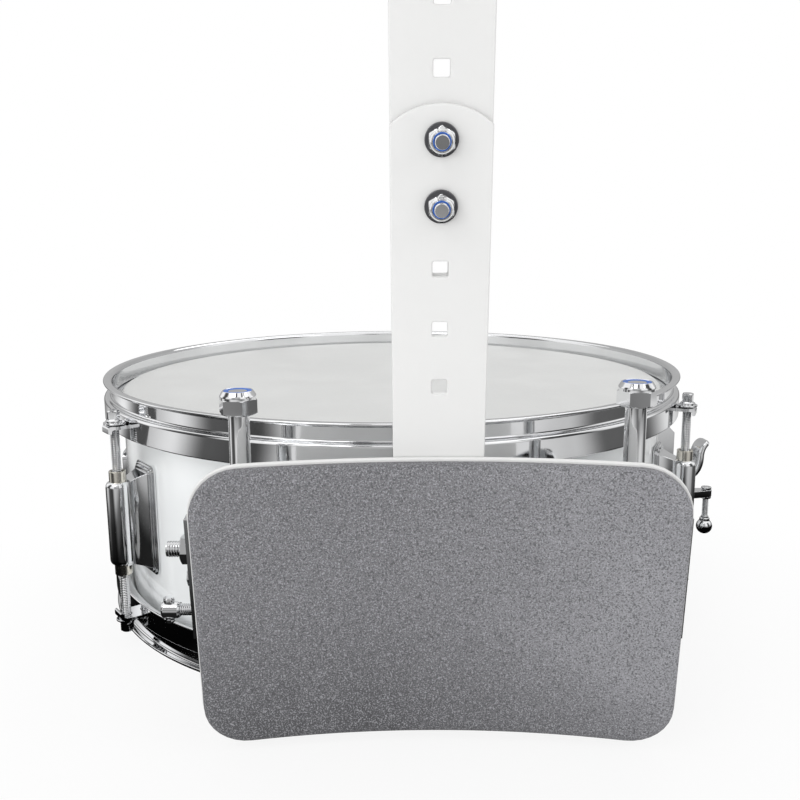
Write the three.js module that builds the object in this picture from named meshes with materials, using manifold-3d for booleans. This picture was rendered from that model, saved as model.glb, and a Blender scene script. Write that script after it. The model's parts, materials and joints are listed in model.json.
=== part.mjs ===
// A fourteen inch marching snare drum on its harness, in millimetres with +Z up.
// The drum stands on its bottom hoop; the player stands on the -Y side, behind the belly plate.
import * as THREE from 'three';
import { mergeVertices } from 'three/addons/utils/BufferGeometryUtils.js';
import Module from 'manifold-3d';

const wasm = await Module();
wasm.setup();

// Shared values
const degree = Math.PI / 180;
const seat = 0.3; // gap left between two pieces that rest on each other
const overrun = 6; // how far a cutting tool runs past what it cuts
const ringSides = 48; // facets of every ring round the drum, so that the rings nest
const boltSides = 8;
const screwSides = 5;

// Drum
const shellRadius = 177.8;
const shellDepth = 127;
const shellWall = 6;
const edgeRound = 1.2;
const bearingCut = 4.6;
const lugCount = 6;
const drumTurn = 7.5; // degrees the drum is turned against the harness
const ventRadius = 5;
const ventFlange = 8.5;
const ventFlangeThick = 1.4;
const ventAzimuth = 60;

// Hoops, heads and their rings
const hoopSheet = 1.8;
const hoopReach = 11.2; // lip beyond the shell
const hoopShoulder = 4; // width of the pressed shoulder
const hoopLipRadius = shellRadius + hoopReach;
const hoopWallRadius = hoopLipRadius - hoopShoulder;
const hoopLipRise = 9.75; // lip above the shell's edge
const hoopShoulderDrop = 10.5; // shoulder below the lip
const hoopHeight = 24.5;
const hoopBend = 1;
const earReach = 11.3; // ear beyond the skirt
const earDrop = 5; // ear below the shoulder
const earWidth = 15;
const earLip = 4.5; // turned down tip of the ear
const earShares = { root: 0.75, waist: 1 / 3, tip: 1 / 3 }; // of the ear's width or reach
const gateWidth = 30;
const gateSill = 2; // strip of lip left under the snare gate
const filmThick = 0.5;
const fleshWidth = 6.2;
const collarDrop = 10;

// Tension rods and lugs
const rodRadius = 2.75;
const rodReach = 6; // rods stand outside the hoop's lip
const rodCircle = hoopLipRadius + rodReach;
const rodHeadWidth = 6;
const rodHeadHeight = 5.4;
const rodFlangeRadius = 5.5;
const rodFlangeThick = 2.7; // the head's own flange on its captive washer
const rodLength = 50;
const lugBaseWidth = 25;
const lugBaseHeight = 66;
const lugBaseThick = 3;
const lugTubeHeight = 50;
const lugRootHeight = 57;
const lugRootWidth = 18;
const lugTubeRadius = 7;
const lugWaistShare = 0.7; // of the tube's radius
const lugBevelShare = 1 / 3;
const swivelRadius = 4.8;
const swivelBore = 3.5;
const swivelRise = 6; // swivel nut standing out past the tube
const screwRadius = 2;
const screwHeadRadius = 4.2;
const screwHeadThick = 2.6;
const screwLift = 0.9; // head clear of the shell's curved inside
const screwGrip = 1.8; // screw end inside the fitting that it holds
const lugScrewSpacing = 58;

// Snare wires, straps and their clamps
const wireCount = 20;
const wireRadius = 0.8;
const wirePitch = 2;
const wireMargin = 27.8; // shell beyond each end of the wires
const wireSpan = 2 * (shellRadius - wireMargin);
const wireSides = 5;
const endPlateLength = 10;
const endPlateThick = 2;
const strapWidth = 24;
const strapThick = 0.6;
const strapTail = 8; // strap under the end plate
const strapClearance = 0.4;
const strapRadius = hoopLipRadius + strapClearance;

// Throw-off
const throwPlateWidth = 30;
const throwPlateHeight = 70;
const throwPlateThick = 3;
const cheekGap = 16.8;
const cheekThick = 2.7;
const cheekHeight = 56;
const cheekReach = 22;
const leverPivotReach = 33; // pivot beyond the shell
const leverPivotRise = -18.25; // pivot above the drum's middle
const leverBossRadius = 5;
const leverPinRadius = 2;
const leverWidth = 16;
const leverSheet = 2.6;
const leverHeight = 30;
const leverFlare = 18;
const leverShares = [[0.45, 0.2], [0.68, 0.45], [0.72, 0.72], [1, 1]]; // of flare and height
const leverRootShare = 0.6; // of the boss radius
const leverSteps = 7;
const carriageWidth = 15.6;
const carriageTop = 8;
const carriageBottom = -41;
const armThick = 5;
const armReach = 53.3;
const armDrop = 2.5; // arm under the lever's boss
const armNose = 3.6; // round end of the arm
const knobRadius = 5.7;
const knobHeight = 11.2;
const knobScrewRadius = 2.2;
const knobStem = 17.5;
const ballShares = { pole: 0.6, low: 0.75, high: 0.3, neck: 0.7 }; // of its radius and height
const clampThick = 2;
const clampHeight = 8.5;

// Butt plate
const buttWidth = 28;
const buttHeight = 40;
const buttThick = 3;
const buttBlockHeight = 14;

// Posts that carry the drum
const bracketWidth = 231;
const postInset = 23.1; // post's axis inside the bracket's outer face
const postSpacing = bracketWidth - 2 * postInset;
const postReach = 26.2; // post's axis beyond the shell
const postY = -shellRadius - postReach;
const postRadius = 5;
const postTop = { left: 166.8, right: 170.2 }; // each nut is run down to its own height
const postBottom = 22;
const postNutFlats = 16;
const postNutHeight = 8;
const postNutCollarRadius = 7.2;
const postNutCollarHeight = 3.4;
const nylonRadius = 6.4;
const nylonRise = 0.6;
const postArmWidth = 24;
const postArmThick = 4;
const postArmTop = 108.3;
const postArmBottom = 30;
const footHeight = 17;
const footThick = 3;
const footSpan = 15; // degrees of shell that a foot covers
const footScrewSpan = 9;
const sleeveRadius = 7.5;

// Hanger blocks and the tilting bracket
const pivotZ = 88.7;
const blockRadius = 11.5;
const blockTopShare = 0.87; // of the block's radius, where its round top ends
const blockTailDrop = 40;
const blockTailRadius = 6.2;
const bracketSheet = 3;
const webTop = 24;
const webBottom = -26;
const flangeBottom = -38;
const flangeBack = 13;
const stopDrop = 14;
const lockDrop = 31;
const tiltBack = 8; // degrees that the harness leans back from rest
const tiltFront = 10;
const straightDown = -90;
const pivotRadius = 4;
const pivotNutFlats = 13;
const pivotNutHeight = 6.5;
const pivotTip = 7; // thread past the nut
const pivotHeadRadius = 7;
const pivotHeadThick = 3.2;
const pivotGrip = 12;
const stopRadius = 2.5;
const stopNutFlats = 8;
const stopNutHeight = 4;
const lockRadius = 3;
const lockHeadRadius = 4.2;
const lockHeadLength = 9;
const tommyShare = 0.6; // place of the cross bar along the head
const lockStandOff = 9;
const tommyRadius = 2.7;
const tommyLength = 13;
const runClearance = 0.4;

// Belly plate, pad and bars
const harnessX = 24.5; // harness middle, which hangs a little off the drum's own axis
const plateWidth = 218;
const plateHeight = 139;
const plateThick = 2.3;
const plateCorner = 22;
const plateCurve = 516;
const plateLean = 7;
const plateStandOff = 29.7; // back of the plate's top edge, ahead of the posts
const plateTopY = postY - plateStandOff;
const plateTopZ = 142;
const padThick = 6;
const padInset = 2.4;
const studRadius = 3;
const studRise = [-40, -72];
const studNutFlats = 10;
const studNutHeight = 5;
const studTip = 2;
const barWidth = 40;
const barThick = 4;
const barLean = 11;
const barFoot = 92;
const barCrownRise = 7.8;
const holePitch = 25.4;
const holeSide = 6.4;
const firstHole = 32.2;
const lowerHoles = 5;
const lowerBarEnd = 13.2; // crown above the last hole
const upperBarStart = 64;
const upperHoles = 8;
const boltPlaces = [3, 4];
const barBoltRadius = 2.9;
const barBoltHeadRadius = 7;
const barBoltHeadThick = 3;
const barWasherRadius = 6.6;
const barWasherThick = 1.6;
const barNutFlats = 10;
const barNutHeight = 6;
const barBoltTip = 3;

// Shoulder yoke
const yokeThick = 4;
const shoulderSpacing = 190;
const yokeMargin = 21; // plate beyond the middle of each shoulder bar
const yokeWidth = shoulderSpacing + 2 * yokeMargin;
const yokeBandHeight = 46;
const yokeSweepShare = 0.35; // of the band's height, by which its ends rise
const yokeBandFoot = 240;
const yokeTongue = 46;
const shoulderBarWidth = 38;
const shoulderBarThick = 3.2;
const shoulderRadius = 76;
const shoulderRise = 305;
const shoulderWrap = 155; // degrees of bend over the shoulder
const shoulderTail = 46;
const shoulderFoot = 243;
const shoulderPadWidth = 54;
const shoulderPadThick = 13;
const shoulderPadStart = 8; // degrees
const shoulderPadTail = 30;
const shoulderSteps = 10;
const shoulderBoltSpacing = 24;
const holesUnderBolt = 1; // holes of the upper bar below its first bolt
const yokeBarBolts = 2; // the bar's last holes, filled by the bolts that hold the yoke

// Chamfer of a lock nut, as shares of its corners' overhang and of its collar
const nutShares = { inset: 1.1, slope: 0.6, collar: 0.4 };

// Heights that follow from the sizes above
const drumHeight = shellDepth + 2 * hoopLipRise;
const drumMiddle = drumHeight / 2;
const filmTop = seat + filmThick;
const shoulderTopZ = hoopLipRise - hoopShoulderDrop;
const fleshOuter = hoopLipRadius - hoopSheet - 2 * seat;
const fleshTop = shoulderTopZ - hoopSheet - seat;
const fittingRadius = shellRadius + seat; // back of everything screwed to the shell
const rodStep = 360 / lugCount;
const firstRod = rodStep / 2;

// Finishes
const finishes = {
  gloss_white: { color: 0xeceff0, roughness: 0.12, metalness: 0 },
  chrome: { color: 0xd8dadc, roughness: 0.08, metalness: 1 },
  coated_film: { color: 0xdddddb, roughness: 0.5, metalness: 0 },
  white_paint: { color: 0xf0efed, roughness: 0.35, metalness: 0 },
  foam: { color: 0x6c6b6f, roughness: 0.95, metalness: 0 },
  dark_steel: { color: 0x35363a, roughness: 0.4, metalness: 1 },
  steel_wire: { color: 0xb9bbbd, roughness: 0.3, metalness: 1 },
  strap: { color: 0x2a2a2c, roughness: 0.8, metalness: 0 },
};

const model = new THREE.Group();

// Puts one named piece in a group.
function addPiece(group, name, finish, geometry) {
  const mesh = new THREE.Mesh(geometry, new THREE.MeshStandardMaterial(finishes[finish]));
  mesh.name = name;
  group.add(mesh);
  return mesh;
}

// A moved and turned copy; the turns are in degrees.
function moved(geometry, x = 0, y = 0, z = 0, turnX = 0, turnY = 0, turnZ = 0) {
  const pose = new THREE.Object3D();
  pose.position.set(x, y, z);
  pose.rotation.set(turnX * degree, turnY * degree, turnZ * degree);
  pose.updateMatrix();
  return geometry.clone().applyMatrix4(pose.matrix);
}

// Turned about the drum's axis.
function spun(geometry, azimuth) {
  return geometry.clone().rotateZ(azimuth * degree);
}

function toSolid(geometry) {
  const bare = geometry.clone();
  bare.deleteAttribute('normal');
  bare.deleteAttribute('uv');
  const welded = mergeVertices(bare);
  const index = welded.index.array;
  const kept = [];
  for (let i = 0; i < index.length; i += 3) {
    const [a, b, c] = [index[i], index[i + 1], index[i + 2]];
    if (a !== b && b !== c && c !== a) {
      kept.push(a, b, c);
    }
  }
  return new wasm.Manifold(new wasm.Mesh({
    numProp: 3,
    vertProperties: Float32Array.from(welded.attributes.position.array),
    triVerts: Uint32Array.from(kept),
  }));
}

function fromSolid(solid) {
  const mesh = solid.getMesh();
  const geometry = new THREE.BufferGeometry();
  geometry.setAttribute('position', new THREE.BufferAttribute(mesh.vertProperties, 3));
  geometry.setIndex(new THREE.BufferAttribute(mesh.triVerts, 1));
  const faceted = geometry.toNonIndexed();
  faceted.computeVertexNormals();
  return faceted;
}

function join(...pieces) {
  return fromSolid(pieces.map(toSolid).reduce((whole, next) => whole.add(next)));
}

function cut(base, ...tools) {
  return fromSolid(tools.map(toSolid).reduce((whole, tool) => whole.subtract(tool), toSolid(base)));
}

function overlapOf(first, second) {
  return fromSolid(toSolid(first).intersect(toSolid(second)));
}

// A ring or disc round the Z axis from a closed outline of [radius, height] points.
function revolve(outline, sides = ringSides) {
  const points = outline.map(([r, z]) => new THREE.Vector2(r, z));
  const first = points[0];
  if (first.x > 0 || points[points.length - 1].x > 0) {
    points.push(first.clone());
  }
  return new THREE.LatheGeometry(points, sides).rotateX(90 * degree);
}

// Extrusions of a flat shape: up along Z, or across along X or Y, each about its middle.
function raised(shape, height, curveSegments = 6) {
  const options = { depth: height, bevelEnabled: false, curveSegments };
  return new THREE.ExtrudeGeometry(shape, options);
}

// The shape's x runs along Y and its y runs along Z.
function across(shape, width, curveSegments = 6) {
  return moved(raised(shape, width, curveSegments), -width / 2, 0, 0).rotateX(90 * degree)
    .rotateZ(90 * degree).translate(0, 0, 0);
}

// The shape's x stays along X and its y runs along Z; depth runs from y = 0 to y = -depth.
function upright(shape, depth, curveSegments = 6) {
  return raised(shape, depth, curveSegments).rotateX(90 * degree);
}

function rod(radius, height, sides = boltSides) {
  return new THREE.CylinderGeometry(radius, radius, height, sides).rotateX(90 * degree)
    .translate(0, 0, height / 2);
}

function box(x, y, z) {
  return new THREE.BoxGeometry(x, y, z);
}

// A hexagon of the given width across flats.
function hexagon(flats, height) {
  return rod(flats / 2 / Math.cos(30 * degree), height, 6);
}

function polygon(points) {
  return new THREE.Shape(points.map(([x, y]) => new THREE.Vector2(x, y)));
}

function roundedPlate(width, height, corner) {
  const [x, y] = [width / 2, height / 2];
  const shape = new THREE.Shape();
  shape.absarc(x - corner, y - corner, corner, 0, 90 * degree);
  shape.absarc(corner - x, y - corner, corner, 90 * degree, 180 * degree);
  shape.absarc(corner - x, corner - y, corner, 180 * degree, 270 * degree);
  shape.absarc(x - corner, corner - y, corner, 270 * degree, 360 * degree);
  return shape;
}

// A plate that stands on the shell, its back hugging the facets; x points away from the drum.
function shellPlate(width, height, thick, corner) {
  const slab = raised(roundedPlate(width, height, corner), thick + overrun, 2);
  const standing = slab.rotateX(90 * degree).rotateZ(90 * degree);
  return cut(standing.translate(fittingRadius - overrun, 0, 0), shellBody());
}

function shellBody() {
  return rod(fittingRadius, drumHeight, ringSides).translate(0, 0, -drumMiddle);
}

// A drill along the drum's radius, from the shell's inside outwards.
function radialRod(radius, from, to, sides = screwSides) {
  return rod(radius, to - from, sides).rotateY(90 * degree).translate(from, 0, 0);
}

// Screws through the shell: azimuth in degrees and height, in the drum's frame
function shellScrewPlaces() {
  const places = [];
  for (let i = 0; i < lugCount; i += 1) {
    for (const side of [-1, 1]) {
      places.push([firstRod + i * rodStep, drumMiddle + side * lugScrewSpacing / 2]);
    }
  }
  for (const side of [-1, 1]) {
    places.push([0, drumMiddle + side * (throwPlateHeight / 2 - screwHeadRadius)]);
    places.push([180, drumMiddle + side * (buttHeight / 2 - screwHeadRadius)]);
  }
  for (const side of [-1, 1]) {
    for (const turn of [-1, 1]) {
      const azimuth = footAzimuth(side) - drumTurn + turn * footScrewSpan / 2;
      places.push([azimuth, postArmTop - footHeight + screwHeadRadius]);
      places.push([azimuth, postArmBottom + footHeight - screwHeadRadius]);
    }
  }
  return places;
}

function makeShell() {
  const inner = shellRadius - shellWall;
  const crest = shellRadius - edgeRound;
  const wall = revolve([
    [inner, bearingCut],
    [crest, 0],
    [shellRadius, edgeRound],
    [shellRadius, shellDepth - edgeRound],
    [crest, shellDepth],
    [inner, shellDepth - bearingCut],
  ]).translate(0, 0, hoopLipRise);
  const holes = shellScrewPlaces().map(([azimuth, z]) => spun(
    radialRod(screwRadius + seat, inner - overrun, shellRadius + overrun).translate(0, 0, z), azimuth));
  const ventHole = radialRod(ventRadius + seat, inner - overrun, shellRadius + overrun, boltSides);
  return cut(wall, ...holes, spun(ventHole.translate(0, 0, drumMiddle), ventAzimuth));
}

// A round headed screw from inside the shell into the back of a fitting
function shellScrew(azimuth, z) {
  const under = shellRadius - shellWall - screwLift;
  const screw = revolve([
    [0, under - screwHeadThick],
    [screwHeadRadius, under],
    [screwRadius, under],
    [screwRadius, fittingRadius + screwGrip],
    [0, fittingRadius + screwGrip],
  ], screwSides).rotateY(90 * degree);
  return spun(screw.translate(0, 0, z), azimuth);
}

// The two screws of a fitting whose own frame has z = 0 at its middle
function screwPair(apart) {
  return [shellScrew(0, -apart / 2), shellScrew(0, apart / 2)];
}

function makeAirVent() {
  const inner = shellRadius - shellWall - seat;
  const bore = ventRadius - ventFlangeThick;
  const grommet = revolve([
    [bore, inner - ventFlangeThick],
    [ventFlange, inner - ventFlangeThick],
    [ventFlange, inner - seat],
    [ventRadius, inner - seat],
    [ventRadius, fittingRadius + seat],
    [ventFlange, fittingRadius + seat],
    [ventFlange - ventFlangeThick, fittingRadius + seat + ventFlangeThick],
    [bore, fittingRadius + seat + ventFlangeThick],
  ], boltSides);
  const lying = grommet.rotateY(90 * degree).translate(0, 0, drumMiddle);
  return spun(lying, ventAzimuth);
}

// Hoop: the lip turns out, the wall drops to a shoulder, and the skirt covers the flesh ring.
function hoopSection() {
  const inner = hoopWallRadius - hoopSheet;
  const skirtInner = hoopLipRadius - hoopSheet;
  return [
    [inner, hoopLipRise],
    [inner, shoulderTopZ - hoopSheet],
    [skirtInner, shoulderTopZ - hoopSheet],
    [skirtInner, hoopLipRise - hoopHeight],
    [hoopLipRadius, hoopLipRise - hoopHeight],
    [hoopLipRadius, shoulderTopZ - hoopBend],
    [hoopLipRadius - hoopBend, shoulderTopZ],
    [hoopWallRadius, shoulderTopZ],
    [hoopWallRadius, hoopLipRise - hoopSheet],
    [hoopLipRadius, hoopLipRise - hoopSheet],
    [hoopLipRadius - hoopBend / 2, hoopLipRise],
  ];
}

// One ear: a tongue pressed out of the shoulder, with a turned down tip and a hole for the rod.
function hoopEar() {
  const root = hoopLipRadius - hoopSheet / 2;
  const tip = hoopLipRadius + earReach;
  const tongue = polygon([
    [root, -earWidth * earShares.root],
    [root + earReach * earShares.waist, -earWidth / 2],
    [tip, -earWidth * earShares.tip],
    [tip, earWidth * earShares.tip],
    [root + earReach * earShares.waist, earWidth / 2],
    [root, earWidth * earShares.root],
  ]);
  const top = raised(tongue, hoopSheet).translate(0, 0, shoulderTopZ - earDrop - hoopSheet);
  const drop = box(hoopSheet, 2 * earWidth * earShares.tip, earLip)
    .translate(tip - hoopSheet / 2, 0, shoulderTopZ - earDrop - earLip / 2);
  return join(top, drop);
}

function makeHoop(withGates) {
  const ears = [];
  const holes = [];
  for (let i = 0; i < lugCount; i += 1) {
    const azimuth = firstRod + i * rodStep;
    ears.push(spun(hoopEar(), azimuth));
    const hole = rod(rodRadius + seat, hoopHeight, 6).translate(rodCircle, 0, -hoopHeight / 2);
    holes.push(spun(hole, azimuth));
  }
  const gates = withGates ? [0, 180].map((azimuth) => spun(snareGate(), azimuth)) : [];
  return cut(join(revolve(hoopSection()), ...ears), ...holes, ...gates);
}

// Window through wall, shoulder and skirt that lets the strap pass; the lip stays whole.
function snareGate() {
  const low = hoopLipRise - hoopHeight - overrun;
  const high = hoopLipRise - gateSill;
  const inner = hoopWallRadius - hoopSheet;
  return box(2 * overrun + hoopLipRadius - inner, gateWidth, high - low)
    .translate((inner + hoopLipRadius) / 2, 0, (low + high) / 2);
}

// A head is a film whose edge is held in a metal flesh ring.
function makeHead() {
  const inside = shellRadius + seat;
  return revolve([
    [0, seat],
    [inside, seat],
    [inside, -collarDrop],
    [fleshOuter, -collarDrop],
    [fleshOuter, fleshTop],
    [fleshOuter - fleshWidth, fleshTop],
    [fleshOuter - fleshWidth, filmThick - collarDrop],
    [inside + filmThick, filmThick - collarDrop],
    [inside + filmThick, -edgeRound],
    [shellRadius - edgeRound, filmTop],
    [0, filmTop],
  ]);
}

// A tension rod in the frame of one drum head, whose z = 0 is the shell's edge
function makeRod() {
  const flangeZ = shoulderTopZ - earDrop + seat;
  return join(
    rod(rodRadius, rodLength + seat, 6).translate(rodCircle, 0, flangeZ - rodLength),
    rod(rodFlangeRadius, rodFlangeThick).translate(rodCircle, 0, flangeZ),
    box(rodHeadWidth, rodHeadWidth, rodHeadHeight + seat)
      .translate(rodCircle, 0, flangeZ + rodFlangeThick + (rodHeadHeight - seat) / 2),
  );
}

// Lug: a base on the shell, and a waisted body out to a tube whose swivel nuts take the rods
function makeLug() {
  const root = fittingRadius + lugBaseThick / 2;
  const waist = lugTubeRadius * lugWaistShare;
  const plan = new THREE.Shape();
  plan.moveTo(root, -lugRootWidth / 2);
  plan.quadraticCurveTo(rodCircle - lugTubeRadius, -waist, rodCircle, -lugTubeRadius);
  plan.absarc(rodCircle, 0, lugTubeRadius, -90 * degree, 90 * degree);
  plan.quadraticCurveTo(rodCircle - lugTubeRadius, waist, root, lugRootWidth / 2);
  const tip = rodCircle + lugTubeRadius;
  const bevel = lugTubeRadius * lugBevelShare;
  const side = polygon([
    [root - overrun, -lugRootHeight / 2],
    [root, -lugRootHeight / 2],
    [rodCircle - lugTubeRadius / 2, -lugTubeHeight / 2],
    [tip - bevel, -lugTubeHeight / 2],
    [tip + seat, bevel - lugTubeHeight / 2],
    [tip + seat, lugTubeHeight / 2 - bevel],
    [tip - bevel, lugTubeHeight / 2],
    [rodCircle - lugTubeRadius / 2, lugTubeHeight / 2],
    [root, lugRootHeight / 2],
    [root - overrun, lugRootHeight / 2],
  ]);
  const body = overlapOf(
    raised(plan, lugRootHeight, 4).translate(0, 0, -lugRootHeight / 2),
    upright(side, lugBaseWidth).translate(0, lugBaseWidth / 2, 0),
  );
  const base = shellPlate(lugBaseWidth, lugBaseHeight, lugBaseThick, lugBaseWidth / 4);
  const nutHeight = lugTubeHeight + 2 * swivelRise;
  const nuts = rod(swivelRadius, nutHeight).translate(rodCircle, 0, -nutHeight / 2);
  const bore = rod(swivelBore, nutHeight + 2 * overrun)
    .translate(rodCircle, 0, -nutHeight / 2 - overrun);
  const whole = join(cut(join(base, body, nuts), bore), ...screwPair(lugScrewSpacing));
  return whole.translate(0, 0, drumMiddle);
}

// Throw-off, in a frame whose x is the distance from the drum's axis and z = 0 its middle
function throwCheek(y) {
  const root = fittingRadius + throwPlateThick / 2;
  const reach = fittingRadius + cheekReach;
  const pivotX = fittingRadius + leverPivotReach;
  const nose = leverBossRadius + hoopBend;
  const half = cheekHeight / 2;
  const side = new THREE.Shape();
  side.moveTo(root, half);
  side.lineTo(reach - cheekReach / 3, half);
  side.lineTo(reach, half - cheekReach / 3);
  side.lineTo(reach, leverPivotRise + nose + cheekThick);
  side.lineTo(pivotX, leverPivotRise + nose);
  side.absarc(pivotX, leverPivotRise, nose, 90 * degree, -90 * degree, true);
  side.lineTo(reach - cheekReach / 3, leverPivotRise - nose);
  side.lineTo(root, -half);
  return upright(side, cheekThick, 4).translate(0, y + cheekThick / 2, 0);
}

function makeThrowBase() {
  const offset = (cheekGap + cheekThick) / 2;
  const plate = shellPlate(throwPlateWidth, throwPlateHeight, throwPlateThick, throwPlateWidth / 6);
  const cheeks = [throwCheek(offset), throwCheek(-offset)];
  const screws = screwPair(throwPlateHeight - 2 * screwHeadRadius);
  return join(plate, ...cheeks, makeLeverPin(), ...screws);
}

function leverPinHole(radius) {
  return rod(radius, throwPlateWidth).rotateX(90 * degree)
    .translate(fittingRadius + leverPivotReach, throwPlateWidth / 2, leverPivotRise);
}

function makeLeverPin() {
  const length = cheekGap + 2 * cheekThick + 2 * hoopBend;
  return rod(leverPinRadius, length).rotateX(90 * degree)
    .translate(fittingRadius + leverPivotReach, length / 2, leverPivotRise);
}

// The lever rises from its boss and flares outward at the tip, where a thumb pulls it down.
function makeLever() {
  const x = fittingRadius + leverPivotReach;
  const z = leverPivotRise;
  const spine = new THREE.CatmullRomCurve3([
    new THREE.Vector3(x, 0, z + leverBossRadius * leverRootShare),
    ...leverShares.map(([out, up]) => new THREE.Vector3(x + leverFlare * out, 0, z + leverHeight * up)),
  ]);
  const outer = [];
  const inner = [];
  for (let i = 0; i <= leverSteps; i += 1) {
    const point = spine.getPoint(i / leverSteps);
    const along = spine.getTangent(i / leverSteps);
    outer.push([point.x + along.z * leverSheet / 2, point.z - along.x * leverSheet / 2]);
    inner.unshift([point.x - along.z * leverSheet / 2, point.z + along.x * leverSheet / 2]);
  }
  const blade = upright(polygon([...outer, ...inner]), leverWidth).translate(0, leverWidth / 2, 0);
  const boss = rod(leverBossRadius, leverWidth, boltSides).rotateX(90 * degree)
    .translate(x, leverWidth / 2, z);
  return cut(join(blade, boss), leverPinHole(leverPinRadius + seat));
}

// The carriage slides between the cheeks and carries the strap clamp and the tension knob.
function makeCarriage() {
  const back = fittingRadius + throwPlateThick + 2 * seat;
  const front = fittingRadius + cheekReach - seat;
  const armTop = leverPivotRise - leverBossRadius - armDrop;
  const arm = fittingRadius + armReach;
  const side = polygon([
    [back, carriageBottom],
    [strapRadius - seat, carriageBottom],
    [strapRadius - seat, armTop - armThick - hoopBend],
    [strapRadius + clampThick + hoopSheet, armTop - armThick],
    [arm + armNose, armTop - armThick],
    [arm + armNose, armTop],
    [front, armTop],
    [front, carriageTop],
    [back, carriageTop],
  ]);
  const block = upright(side, carriageWidth).translate(0, carriageWidth / 2, 0);
  const waist = overlapOf(block, carriagePlan(back, arm));
  const hole = rod(knobScrewRadius + seat, armThick * 4)
    .translate(arm, 0, armTop - armThick * 2);
  return cut(waist, hole);
}

// Plan of the carriage: full width inside the cheeks, tapering to a round nose at the knob
function carriagePlan(back, arm) {
  const [half, nose] = [carriageWidth / 2, armNose];
  const plan = new THREE.Shape();
  plan.moveTo(back - seat, -half);
  plan.lineTo(fittingRadius + cheekReach, -half);
  plan.lineTo(arm, -nose - seat);
  plan.absarc(arm, 0, nose + seat, -90 * degree, 90 * degree);
  plan.lineTo(fittingRadius + cheekReach, half);
  plan.lineTo(back - seat, half);
  return raised(plan, throwPlateHeight, 4).translate(0, 0, -throwPlateHeight / 2);
}

function makeKnob() {
  const armTop = leverPivotRise - leverBossRadius - armDrop;
  const screwTop = armTop + seat + hoopSheet;
  const knobTop = armTop - armThick - knobStem;
  const stem = rod(knobScrewRadius, screwTop - knobTop + seat).translate(0, 0, knobTop - seat);
  const collar = rod(armNose, hoopSheet, boltSides)
    .translate(0, 0, armTop - armThick - seat - hoopSheet);
  const cap = rod(armNose, hoopSheet, boltSides).translate(0, 0, armTop + seat);
  const ball = revolve([
    [0, knobTop - knobHeight],
    [knobRadius * ballShares.pole, knobTop - knobHeight],
    [knobRadius, knobTop - knobHeight * ballShares.low],
    [knobRadius, knobTop - knobHeight * ballShares.high],
    [knobRadius * ballShares.neck, knobTop],
    [0, knobTop],
  ], 12);
  return join(stem, collar, cap, ball).translate(fittingRadius + armReach, 0, 0);
}

// Clamp bars hold the straps against the carriage and against the butt block.
function makeStrapClamp() {
  const width = carriageWidth - 2 * seat;
  return box(clampThick, width, clampHeight).translate(
    strapRadius + strapThick + seat + clampThick / 2,
    0,
    carriageBottom + clampHeight / 2,
  );
}

// A strap: down outside the flesh ring, through the gate, and in under the head to the end plate
function makeStrap(top) {
  const low = strapZ();
  const inner = wireSpan / 2 + endPlateLength - strapTail;
  const outer = strapRadius + strapThick;
  const side = polygon([
    [inner, low],
    [outer, low],
    [outer, top],
    [strapRadius, top],
    [strapRadius, low + strapThick],
    [inner, low + strapThick],
  ]);
  const width = Math.min(strapWidth, carriageWidth - 2 * seat);
  return upright(side, width).translate(0, width / 2, 0);
}

function wireZ() {
  return hoopLipRise - filmTop - seat - endPlateThick / 2;
}

function strapZ() {
  return wireZ() - endPlateThick / 2 - seat - strapThick;
}

function makeSnareWires() {
  const strand = rod(wireRadius, wireSpan, wireSides).rotateY(90 * degree);
  const strands = [];
  for (let i = 0; i < wireCount; i += 1) {
    const y = (i - (wireCount - 1) / 2) * wirePitch;
    strands.push(moved(strand, -wireSpan / 2, y, wireZ()));
  }
  return join(...strands, makeEndPlates());
}

function makeEndPlates() {
  const width = wireCount * wirePitch;
  const x = (wireSpan + endPlateLength) / 2 - wireRadius;
  const plate = box(endPlateLength, width, endPlateThick);
  return join(moved(plate, x, 0, wireZ()), moved(plate, -x, 0, wireZ()));
}

function makeButtPlate() {
  const plate = shellPlate(buttWidth, buttHeight, buttThick, buttWidth / 6);
  const back = fittingRadius + buttThick / 2;
  const front = strapRadius - seat;
  const block = box(front - back, carriageWidth, buttBlockHeight)
    .translate((front + back) / 2, 0, -buttHeight / 4);
  const whole = join(plate, block, ...screwPair(buttHeight - 2 * screwHeadRadius));
  return spun(whole, 180).translate(0, 0, drumMiddle);
}

function makeButtClamp() {
  const bar = box(clampThick, carriageWidth, buttBlockHeight - 2 * hoopBend)
    .translate(strapRadius + strapThick + seat + clampThick / 2, 0, -buttHeight / 4);
  return spun(bar, 180).translate(0, 0, drumMiddle);
}

// Drum: everything that is turned with the shell
function addDrum() {
  const drum = new THREE.Group();
  drum.rotation.z = drumTurn * degree;
  model.add(drum);
  addPiece(drum, 'shell', 'gloss_white', makeShell());
  addPiece(drum, 'air_vent', 'chrome', makeAirVent());
  const lug = makeLug();
  for (let i = 0; i < lugCount; i += 1) {
    addPiece(drum, `lug_${i + 1}`, 'chrome', spun(lug, firstRod + i * rodStep));
  }
  addHeadSide(drum, 'top', 'batter_head', hoopLipRise + shellDepth, 0, false);
  addHeadSide(drum, 'bottom', 'snare_head', hoopLipRise, 180, true);
  addSnares(drum);
}

function addHeadSide(drum, side, headName, z, flip, withGates) {
  const group = new THREE.Group();
  group.position.z = z;
  group.rotation.x = flip * degree;
  drum.add(group);
  addPiece(group, headName, 'coated_film', makeHead());
  addPiece(group, `${side}_hoop`, 'chrome', makeHoop(withGates));
  const tensionRod = makeRod();
  for (let i = 0; i < lugCount; i += 1) {
    const azimuth = flip > 0 ? -firstRod - i * rodStep : firstRod + i * rodStep;
    addPiece(group, `tension_rod_${side}_${i + 1}`, 'chrome', spun(tensionRod, azimuth));
  }
}

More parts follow.
